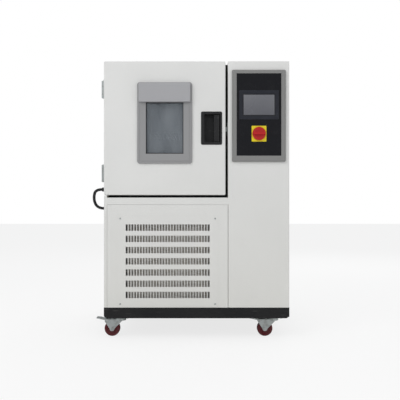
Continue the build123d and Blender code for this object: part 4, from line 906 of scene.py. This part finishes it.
screen_low, screen_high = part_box("touch_screen")
screen_middle = middle_of(screen_low, screen_high)
display_middle = Vector((screen_middle.x, screen_low.y, screen_middle.z))
display_seat = Vector((0, display_depth - display_thickness / 2, 0))
bpy.ops.object.select_all(action="DESELECT")
bpy.ops.mesh.primitive_cube_add(size=1, location=display_middle + display_seat)
display_glass = bpy.context.object
display_glass.name = "display_glass"
display_glass.scale = (display_width - display_gap, display_thickness, display_height - display_gap)
settle(display_glass)
display_front = screen_low.y + display_depth - display_thickness
pick_edges(display_glass, lambda a, b: max(a.y, b.y) < display_front + TOUCH)
bpy.ops.mesh.bevel(offset=display_edge, segments=2, affect="EDGES")
close_up(display_glass)
dress(display_finish(display_middle, display_width / 2, display_height / 2), display_glass)
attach(display_glass, "cabinet")
print("display", [round(v, 4) for v in display_glass.dimensions])

# %% [markdown]
# ## Light, ground and camera
# The picture is a catalogue picture: a white room, soft light from all sides and a little more
# from the upper left. What the camera sees of the room is white. The light it gives is a little
# weaker, so that white panels keep their tone, and metals mirror a weaker one still.


# %% World
def background(tree, colour, strength):
    shader = tree.nodes.new("ShaderNodeBackground")
    shader.inputs["Color"].default_value = colour
    shader.inputs["Strength"].default_value = strength
    return shader.outputs[0]


def choose(tree, ray, otherwise, when):
    """One background for a kind of ray and another for all the rest."""
    chooser = tree.nodes.new("ShaderNodeMixShader")
    tree.links.new(ray, chooser.inputs[0])
    tree.links.new(otherwise, chooser.inputs[1])
    tree.links.new(when, chooser.inputs[2])
    return chooser.outputs[0]


def white_room():
    world = bpy.data.worlds.new("white room")
    bpy.context.scene.world = world
    world.use_nodes = True
    tree = world.node_tree
    ray = tree.nodes.new("ShaderNodeLightPath").outputs
    seen = background(tree, rgb(1, 1, 1), 1.0)
    mirrored = background(tree, rgb(0.92, 0.95, 1.0), 0.45)
    lighting = background(tree, rgb(0.98, 0.99, 1.0), 0.56)
    unseen = choose(tree, ray["Is Glossy Ray"], lighting, mirrored)
    room = choose(tree, ray["Is Camera Ray"], unseen, seen)
    tree.links.new(room, tree.nodes["World Output"].inputs["Surface"])


white_room()
print("world", bpy.context.scene.world.name)


# %% Ground
def ground_finish():
    """Pale ground that keeps the shadow, mixed with plain white where the camera sees it."""
    finish = Finish("pale ground", Roughness=0.9, Specular_IOR_Level=0.0)
    patches = finish.noise(0.8, detail=2)
    finish.feed("Base Color", finish.mix(patches, rgb(0.93, 0.93, 0.93), rgb(0.96, 0.96, 0.96)))
    seen = finish.node("ShaderNodeLightPath", {}, {}, "Is Camera Ray")
    white = finish.node("ShaderNodeEmission", {}, {"Color": rgb(1, 1, 1), "Strength": 1.0})
    lit = Value(finish, finish.shader.outputs["BSDF"])
    both = finish.node("ShaderNodeMixShader", {}, {0: seen * 0.78, 1: lit, 2: white})
    surface = finish.tree.nodes["Material Output"].inputs["Surface"]
    finish.tree.links.new(both.socket, surface)
    return finish


ground_size = 30
ground_drop = 0.5 * MM
bpy.ops.object.select_all(action="DESELECT")
bpy.ops.mesh.primitive_plane_add(size=ground_size, location=(0, 0, -ground_drop))
ground = bpy.context.object
ground.name = "ground"
dress(ground_finish(), ground)
print("ground", ground_size, "m square")


# %% Lamps
def area_lamp(name, place, target, size, power):
    """A square lamp that looks at a point."""
    bpy.ops.object.light_add(type="AREA", location=place)
    lamp = bpy.context.object
    lamp.name = name
    lamp.data.size = size
    lamp.data.energy = power
    lamp.rotation_euler = (Vector(target) - Vector(place)).to_track_quat("-Z", "Y").to_euler()
    print(name, power, "W at", place)


middle_height = (size_at_rest[0][2] + size_at_rest[1][2]) / 2
front_middle = (0, -0.4, middle_height)
back_middle = (0, 0.4, middle_height)
area_lamp("key lamp", (-2.2, -3.2, 3.2), front_middle, size=2.4, power=52)
area_lamp("fill lamp", (2.8, -3.0, 1.6), front_middle, size=2.0, power=14)
area_lamp("back lamp", (1.5, 3.4, 3.0), back_middle, size=2.4, power=34)

# %% [markdown]
# The camera stands level with the middle of the machine, about three metres from its front, so
# that verticals stay parallel and only a sliver of the plinth's underside shows.

# %% Camera
camera_distance = 3.2
camera_x = 0.0414
camera_z = 0.7097
picture_width = 2.048  # what the picture's width covers on the front of the cabinet
front_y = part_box("door_skin")[0].y
camera_data = bpy.data.cameras.new("camera")
camera = bpy.data.objects.new("camera", camera_data)
bpy.context.scene.collection.objects.link(camera)
camera.location = (camera_x, front_y - camera_distance, camera_z)
camera.rotation_euler = (pi / 2, 0, 0)
camera_data.sensor_width = 36
camera_data.lens = camera_data.sensor_width * camera_distance / picture_width
camera_data.dof.use_dof = False
bpy.context.scene.camera = camera
bpy.context.scene.view_settings.view_transform = "Standard"
print("camera lens", round(camera_data.lens, 2), "mm at", [round(v, 3) for v in camera.location])
